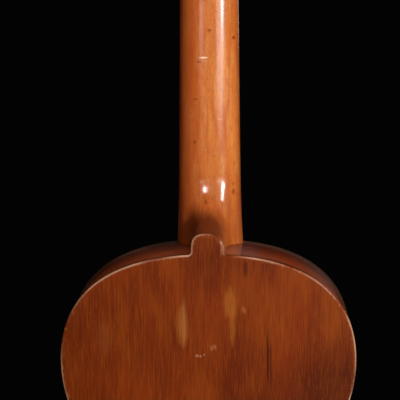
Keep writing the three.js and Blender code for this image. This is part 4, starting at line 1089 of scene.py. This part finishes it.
def varnished_neck():
    """Maple under clear orange varnish, handled smooth: a bright film with sharp highlights
    over a warm ground, short dark flecks of about 0.5 by 2.5 mm where the rays are cut, soft
    upright streaks, scratches, painted shade on the treble side and the flanks, and darkening
    on the heel above the button, with painted shade where it meets the button."""
    material, tree, shader, where = new_finish(
        "varnished_neck", IOR=1.5, Specular_IOR_Level=0.1, Coat_Roughness=0.14, Coat_IOR=1.5)
    colour = stained(tree, where, "#dc7c36", [
        ((16, 30, 70), 0.42, 0.62, "#bd5f1e", 0.55),
        ((9, 20, 44), 0.5, 0.68, "#e09048", 0.5),
        ((3.2, 9, 40), 0.46, 0.66, "#b9582a", 0.5),
        ((2.6, 9, 30), 0.5, 0.7, "#e6a060", 0.35),
        ((4.5, 9, 9), 0.52, 0.68, "#bd5430", 0.35),
        ((0.75, 1.6, 3.0), 0.6, 0.7, "#8a3c14", 0.5),
        ((1.5, 2.4, 2.6), 0.64, 0.72, "#9c481e", 0.35),
    ])
    # Painted shade: redder and darker to the treble side, and darker on the flanks towards the
    # fretboard
    split = node(tree, "ShaderNodeSeparateXYZ", {0: where}).outputs
    depth = node(
        tree, "ShaderNodeMath", {0: split["X"], 1: -0.11, 2: split["Y"]}, operation="MULTIPLY_ADD")
    shaded_treble_side = node(tree, "ShaderNodeMapRange", {
        "Value": split["X"], "From Min": -0.001, "From Max": 0.013, "To Max": 0.55})
    flank = node(tree, "ShaderNodeMapRange", {
        "Value": depth.outputs[0], "From Min": -0.030, "From Max": -0.046, "To Max": 0.85})
    colour = layered(tree, colour, [
        (shaded_treble_side.outputs[0], "#c2501e"), (flank.outputs[0], "#7a2402")])
    # The heel darkens above the button; the near-black last mark is painted shade in the crease
    # where the heel meets the button.
    heel_darkening = [
        ((0, 14, 480), (60, 110, 56), "#8a3208", 0.5),
        ((2, 14, 486), (22, 56, 18), "#4a1002", 0.78),
        ((3, 40, 483), (19, 14, 9), "#160300", 0.85),
    ]
    scratches_and_flecks = [
        ((4.4, -30, 623.1), (4.6, 14, 1.1), "#ffc79a", 1.0),
        ((3.4, -30, 620.2), (3.8, 14, 0.8), "#e8a878", 0.4),
        ((8.2, -30, 619.6), (3.4, 14, 1.2), "#8a3410", 0.6),
        ((-8.9, -30, 571.9), (2.6, 14, 0.8), "#e8a878", 0.4),
        ((-0.6, -30, 645.8), (2.0, 14, 1.5), "#8a3408", 0.8),
        ((-20.5, -36, 639.5), (1.6, 14, 2.0), "#7a2404", 0.8),
        ((12.0, -31, 552.8), (1.2, 14, 2.4), "#6a2408", 0.6),
        ((-20.1, -32, 510.8), (1.9, 14, 3.4), "#7a2c08", 0.6),
        ((-20.1, -32, 517.4), (1.6, 14, 1.4), "#8a4410", 0.5),
        ((2.9, -28, 502.8), (1.7, 14, 2.6), "#7a2c08", 0.6),
        ((2.4, -26, 495.6), (1.4, 14, 1.7), "#560c04", 0.8),
        ((11.3, -31, 588.6), (3.0, 14, 1.2), "#7a3210", 0.5),
    ]
    colour = marked(tree, frayed(tree, where, (2, 2, 3)), colour, heel_darkening)
    colour = marked(tree, where, colour, scratches_and_flecks)
    fibres = patches(tree, where, (0.9, 4, 16), 0.3, 0.75)
    faint_fibres = patches(tree, where, (0.9, 4, 16), 0.3, 0.75, 0.27)
    grime = oval(tree, where, (0, 14, 476), (46, 120, 44), 1.0)
    dull = node(tree, "ShaderNodeMath", {0: faint_fibres, 1: grime}, operation="MAXIMUM")
    set_surface(tree, shader, colour, dull.outputs[0], 0.3, 0.75, fibres, 0.012)
    clean = node(tree, "ShaderNodeMath", {0: 1.0, 1: grime}, operation="SUBTRACT")
    tree.links.new(clean.outputs[0], shader.inputs["Coat Weight"])
    return material


def aged_spruce():
    """A spruce soundboard gone amber under thin varnish: upright year lines about 1.8 mm
    apart, pale wear beside the sound hole, grime round the bridge, and the cut edge stained as
    dark as the ribs."""
    material, tree, shader, where = new_finish(
        "aged_spruce", IOR=1.5, Specular_IOR_Level=0.2, Coat_Roughness=0.2, Coat_IOR=1.5)
    colour = stained(tree, where, "#c08440", [
        ((40, 60, 110), 0.42, 0.62, "#a5682c", 0.5),
        ((30, 60, 60), 0.52, 0.7, "#d0a061", 0.4),
    ])
    colour = marked(tree, frayed(tree, where, (4, 0, 6)), colour, [
        ((-30, -46, 275), (34, 20, 44), "#d6b27c", 0.55),
        ((46, -46, 345), (24, 20, 34), "#d0a86e", 0.4),
        ((0, -46, 146), (96, 20, 34), "#7e4a1c", 0.5),
        ((0, -46, 20), (120, 20, 24), "#7e4a1c", 0.4),
    ])
    colour = stained(tree, where, colour, [
        ((1.7, 60, 260), 0.5, 0.6, "#8f5722", 0.5),
        ((0.9, 30, 60), 0.5, 0.7, "#cf9c5c", 0.35),
        ((5.0, 30, 3.0), 0.6, 0.72, "#8a5524", 0.4),
    ])
    colour = layered(tree, colour, [(by_attribute(tree, "edge", 0.2, 0.8, 0.96), "#2a0e05")])
    year_lines = patches(tree, where, (1.7, 60, 260), 0.35, 0.65)
    colour = bare_inside(tree, where, colour)
    set_surface(tree, shader, colour, year_lines, 0.36, 0.5, year_lines, 0.03)
    gloss = by_attribute(tree, "edge", 1, 0, 0.4)
    tree.links.new(gloss, shader.inputs["Coat Weight"])
    return material


def bare_softwood(name, turn):
    """Planed spruce left bare inside the box: matt, pale, with fine year lines along its length."""
    return plain_finish(name, "#c6a06a", [
        ((12, 20, 60), 0.42, 0.64, "#a88150", 0.5),
        ((1.3, 3, 80), 0.5, 0.62, "#9a7342", 0.55),
        ((0.8, 3, 12), 0.52, 0.7, "#d8b986", 0.4),
    ], ((1.3, 3, 80), 0.35, 0.65), 0.62, 0.8, 0.04, turn=turn, IOR=1.45)


def stained_pearwood(name, turn):
    """Pearwood stained black: brown glints through the stain, short open pores of about 0.3 by
    2 mm, and a soft waxed sheen."""
    return plain_finish(name, "#1e130d", [
        ((8, 14, 40), 0.45, 0.65, "#38241a", 0.6),
        ((1.2, 3, 26), 0.5, 0.7, "#4a3122", 0.45),
        ((0.5, 0.9, 2.6), 0.55, 0.66, "#080504", 0.8),
    ], ((0.5, 0.9, 2.6), 0.66, 0.5), 0.55, 0.36, 0.05, turn=turn,
        IOR=1.5, Coat_Weight=0.12, Coat_Roughness=0.3)


def yellowed_bone(name, base, shade):
    """Old bone, sawn and polished: creamy, a little see-through, browner in its pores, with
    faint streaks along its length and the shine of long handling."""
    return plain_finish(name, base, [
        ((6, 6, 9), 0.42, 0.64, shade, 0.6),
        ((0.8, 0.8, 5), 0.52, 0.7, "#f0e6c8", 0.4),
        ((0.5, 0.5, 1.8), 0.6, 0.7, "#8f7444", 0.5),
    ], ((0.5, 0.5, 1.8), 0.7, 0.58), 0.42, 0.26, 0.03, IOR=1.54,
        Subsurface_Weight=0.12, Subsurface_Scale=0.002, Coat_Weight=0.3, Coat_Roughness=0.15)


def twisted_gut():
    """Plain gut string: amber and waxy, with the faint slant of its twist about 1 mm apart."""
    return plain_finish("twisted_gut", "#d6bf86", [
        ((3, 3, 14), 0.42, 0.64, "#b99a5c", 0.6), ((0.6, 0.6, 1.4), 0.52, 0.68, "#e8d8a8", 0.5),
    ], ((0.6, 0.6, 1.0), 0.35, 0.65), 0.28, 0.4, 0.04, IOR=1.5,
        Subsurface_Weight=0.2, Subsurface_Scale=0.001, Coat_Weight=0.25, Coat_Roughness=0.2)


def silver_wound():
    """Silvered copper wire wound over silk: closely ringed, coppery where the plating has
    gone. The wire is about 0.2 mm thick and is drawn at 0.6 mm, so that its rings show."""
    material, tree, shader, where = new_finish("silver_wound", Metallic=1.0)
    colour = stained(tree, where, "#b9b2a4", [
        ((3, 3, 22), 0.45, 0.62, "#9a7a58", 0.7), ((2, 2, 5), 0.55, 0.7, "#5c5248", 0.6)])
    wire, wave_constant = 0.6 * MM, 20
    rings = node(tree, "ShaderNodeTexWave", {
        "Vector": where, "Scale": 2 * math.pi / (wave_constant * wire),
    }, wave_type="BANDS", bands_direction="Z").outputs["Fac"]
    set_surface(tree, shader, colour, rings, 0.45, 0.25, rings, 0.06)
    return material


def dulled_nickel():
    """German silver, rolled and long handled: a warm grey metal, brighter where fingers pass,
    clouded brown by tarnish, with fine scratches."""
    return plain_finish("dulled_nickel", "#b3a88f", [
        ((9, 9, 12), 0.42, 0.62, "#8a7654", 0.7),
        ((2.6, 2.6, 3.4), 0.54, 0.68, "#54452f", 0.6),
        ((0.4, 3, 3), 0.6, 0.72, "#d6cdb8", 0.4),
    ], ((4, 4, 5), 0.36, 0.64), 0.24, 0.5, 0.008, relief=((0.4, 2.5, 3), 0.35, 0.65), Metallic=1.0)


def rosette_inlay():
    """Rings of dyed veneer let into the soundboard under its varnish, set by their distance
    from the middle of the sound hole: dark and pale lines on both sides of a band of slanting
    dark and pale tiles, each about 1.6 mm wide."""
    material, tree, shader, where = new_finish(
        "rosette_inlay", IOR=1.5, Coat_Weight=0.4, Coat_Roughness=0.2)
    tile_pairs, slant = 200, 1 / 0.0016
    from_hole = node(tree, "ShaderNodeMapping", {
        "Vector": where, "Location": (0, 0, -HOLE_Z * MM), "Scale": (1, 0, 1)}).outputs[0]
    reach = node(tree, "ShaderNodeVectorMath", {0: from_hole}, operation="LENGTH").outputs["Value"]
    parts = node(tree, "ShaderNodeSeparateXYZ", {0: from_hole}).outputs
    tiles = None
    for operation, inputs in (
            ("ARCTAN2", {0: parts["X"], 1: parts["Z"]}),
            ("MULTIPLY", {1: tile_pairs / (2 * math.pi)}),
            ("MULTIPLY_ADD", {0: reach, 1: slant}),
            ("FRACT", {}),
            ("GREATER_THAN", {1: 0.5})):
        step = node(tree, "ShaderNodeMath", inputs, operation=operation)
        if tiles:
            tree.links.new(tiles, step.inputs[2 if operation == "MULTIPLY_ADD" else 0])
        tiles = step.outputs[0]
    band = layered(tree, "#2b170b", [(tiles, "#a8743a")])
    inner, outer = (radius * MM for radius in ROSETTE)
    lines = node(tree, "ShaderNodeMapRange", {
        "Value": reach, "From Min": inner, "From Max": outer}).outputs[0]
    ramp = node(tree, "ShaderNodeValToRGB", {"Fac": lines})
    ramp.color_ramp.interpolation = "CONSTANT"
    stops = [(0.0, "#160b05"), (0.09, "#c2904e"), (0.18, "#160b05"), (0.26, "#ffffff"),
             (0.74, "#160b05"), (0.82, "#c2904e"), (0.91, "#160b05")]
    for place, colour in stops[2:]:
        ramp.color_ramp.elements.new(place)
    for element, (place, colour) in zip(ramp.color_ramp.elements, stops):
        element.position, element.color = place, linear(colour)
    in_band = node(tree, "ShaderNodeMath", {0: lines, 1: 0.5, 2: 0.24}, operation="COMPARE")
    colour = layered(tree, ramp.outputs[0], [
        (in_band.outputs[0], band), (patches(tree, where, (6, 6, 6), 0.4, 0.7, 0.3), "#5c3a1c")])
    set_surface(tree, shader, colour, patches(tree, where, (0.8, 2, 3), 0.35, 0.7), 0.34, 0.48)
    return material


def pale_floor():
    """A painted studio floor: matt and pale, with the faintest cloudiness."""
    return plain_finish("pale_floor", "#d8d5cf", [((120, 120, 120), 0.4, 0.7, "#cfccc5", 0.5)],
                        ((60, 60, 60), 0.4, 0.7), 0.6, 0.7, IOR=1.45)


ALONG_X = (0, math.pi / 2, 0)
cross_black = stained_pearwood("cross_stained_pearwood", ALONG_X)
cross_softwood = bare_softwood("cross_softwood", ALONG_X)
knob_finish = yellowed_bone("handled_bone", "#cdb98a", "#a98d58")
slot_finish = {
    "back_wood": french_polished_back(),
    "rib_wood": french_polished_rib(),
    "neck_wood": varnished_neck(),
    "soundboard_wood": aged_spruce(),
    "inner_wood": bare_softwood("upright_softwood", None),
    "dark_wood": stained_pearwood("upright_stained_pearwood", None),
    "bone": yellowed_bone("yellowed_bone", "#d9cba5", "#c0a876"),
    "gut": twisted_gut(),
    "wound_string": silver_wound(),
    "tuner_metal": dulled_nickel(),
    "rosette_inlay": rosette_inlay(),
}
for row in frame["record"]["subparts"]:
    cad = frame["nodes"][row["node"]]
    slot = row["material_slot"]
    lies_across = slot == "inner_wood" and ("bar" in row["node"] or "plate" in row["node"])
    cad.data.materials.clear()
    cad.data.materials.append(cross_softwood if lies_across else slot_finish[slot])

back_plate()
bent_rib("rib_treble_bent", 1, "rib_treble")
bent_rib("rib_bass_bent", -1, "rib_bass")
neck_and_heel()
headstock()
head_veneer()
soundboard()
rosette()
fretboard()
bridge()
saddle()
bridge_pins()
end_pin()
strings()
rollers()
worms()
knobs()
plate_screws()


# Camera, lamps and floor

def set_camera():
    """A long lens behind the guitar, a little above its shoulder and looking slightly down."""
    place = (-0.03217, 1.2979, 0.68304)
    pitch, yaw, roll = 0.1340, 0.0302, -0.0047
    forward = Vector((
        math.sin(yaw) * math.cos(pitch), -math.cos(yaw) * math.cos(pitch), -math.sin(pitch)))
    right = forward.cross(Vector((0, 0, 1))).normalized()
    up = right.cross(forward)
    across = math.cos(roll) * right + math.sin(roll) * up
    upward = math.cos(roll) * up - math.sin(roll) * right
    data = bpy.data.cameras.new("camera")
    data.lens, data.sensor_width = 143.69, 36.0
    data.clip_start, data.clip_end = 0.05, 50
    camera = added("camera", data)
    turn = Matrix((across, upward, -forward)).transposed().to_4x4()
    camera.matrix_world = Matrix.Translation(place) @ turn
    bpy.context.scene.camera = camera


def add_lamp(name, place, size, power, mirrored=True, shape="RECTANGLE", aimed_at=(0, 0, 0.5)):
    """An area lamp, not seen itself. One that isn't mirrored leaves no image of itself in
    varnish and metal."""
    data = bpy.data.lights.new(name, "AREA")
    data.shape, data.energy = shape, power
    data.size, data.size_y = size
    lamp = added(name, data)
    aim = (Vector(aimed_at) - Vector(place)).to_track_quat("-Z", "Y")
    lamp.matrix_world = Matrix.Translation(place) @ aim.to_matrix().to_4x4()
    lamp.visible_camera = False
    lamp.visible_glossy = mirrored


def add_floor():
    """A flat round disc under the guitar, its rim by radius and angle."""
    rim = 1150 * circle(full_turn(96))
    mesh = bpy.data.meshes.new("floor")
    mesh.from_pydata(xyz(rim[:, 0], rim[:, 1], 0) * MM, [], [list(range(len(rim)))])
    mesh.materials.append(pale_floor())
    floor = added("floor", mesh)


set_camera()
add_floor()
add_lamp("key_softbox", (-0.715, 1.367, 0.8), (0.14, 0.25), 14)
add_lamp("low_panel", (-0.52, 1.46, 0.575), (0.42, 0.21), 1.3)
add_lamp("left_card", (0.38, 1.5, 0.63), (0.24, 0.12), 0.3)
add_lamp("round_lamp", (0.217, 1.52, 0.93), (0.15, 0.15), 3.5, shape="ELLIPSE")
add_lamp("edge_strip", (-0.8, -1.4, 0.93), (0.25, 0.7), 0.7)
add_lamp("top_panel", (-0.3, 0.3, 1.7), (0.7, 0.7), 6, mirrored=False)
add_lamp("side_panel", (-1.1, 0.5, 1.3), (0.7, 0.7), 5, mirrored=False)
add_lamp("front_glow", (0.5, -1.3, 2.0), (1.0, 0.8), 3)
add_lamp("front_panel", (-0.5, -1.9, 0.42), (0.5, 0.5), 18, mirrored=False)
add_lamp("front_fill", (0.9, -1.5, 0.42), (0.5, 0.5), 6, mirrored=False)
add_lamp("head_panel", (0.05, -1.7, 1.2), (0.5, 0.5), 7, mirrored=False, aimed_at=(0, 0, 0.8))
world = bpy.data.worlds.new("dark_room")
world.use_nodes = True
world.node_tree.nodes["Background"].inputs["Color"].default_value = (0.001, 0.001, 0.001, 1)
bpy.context.scene.world = world
bpy.context.scene.view_settings.view_transform = "Standard"
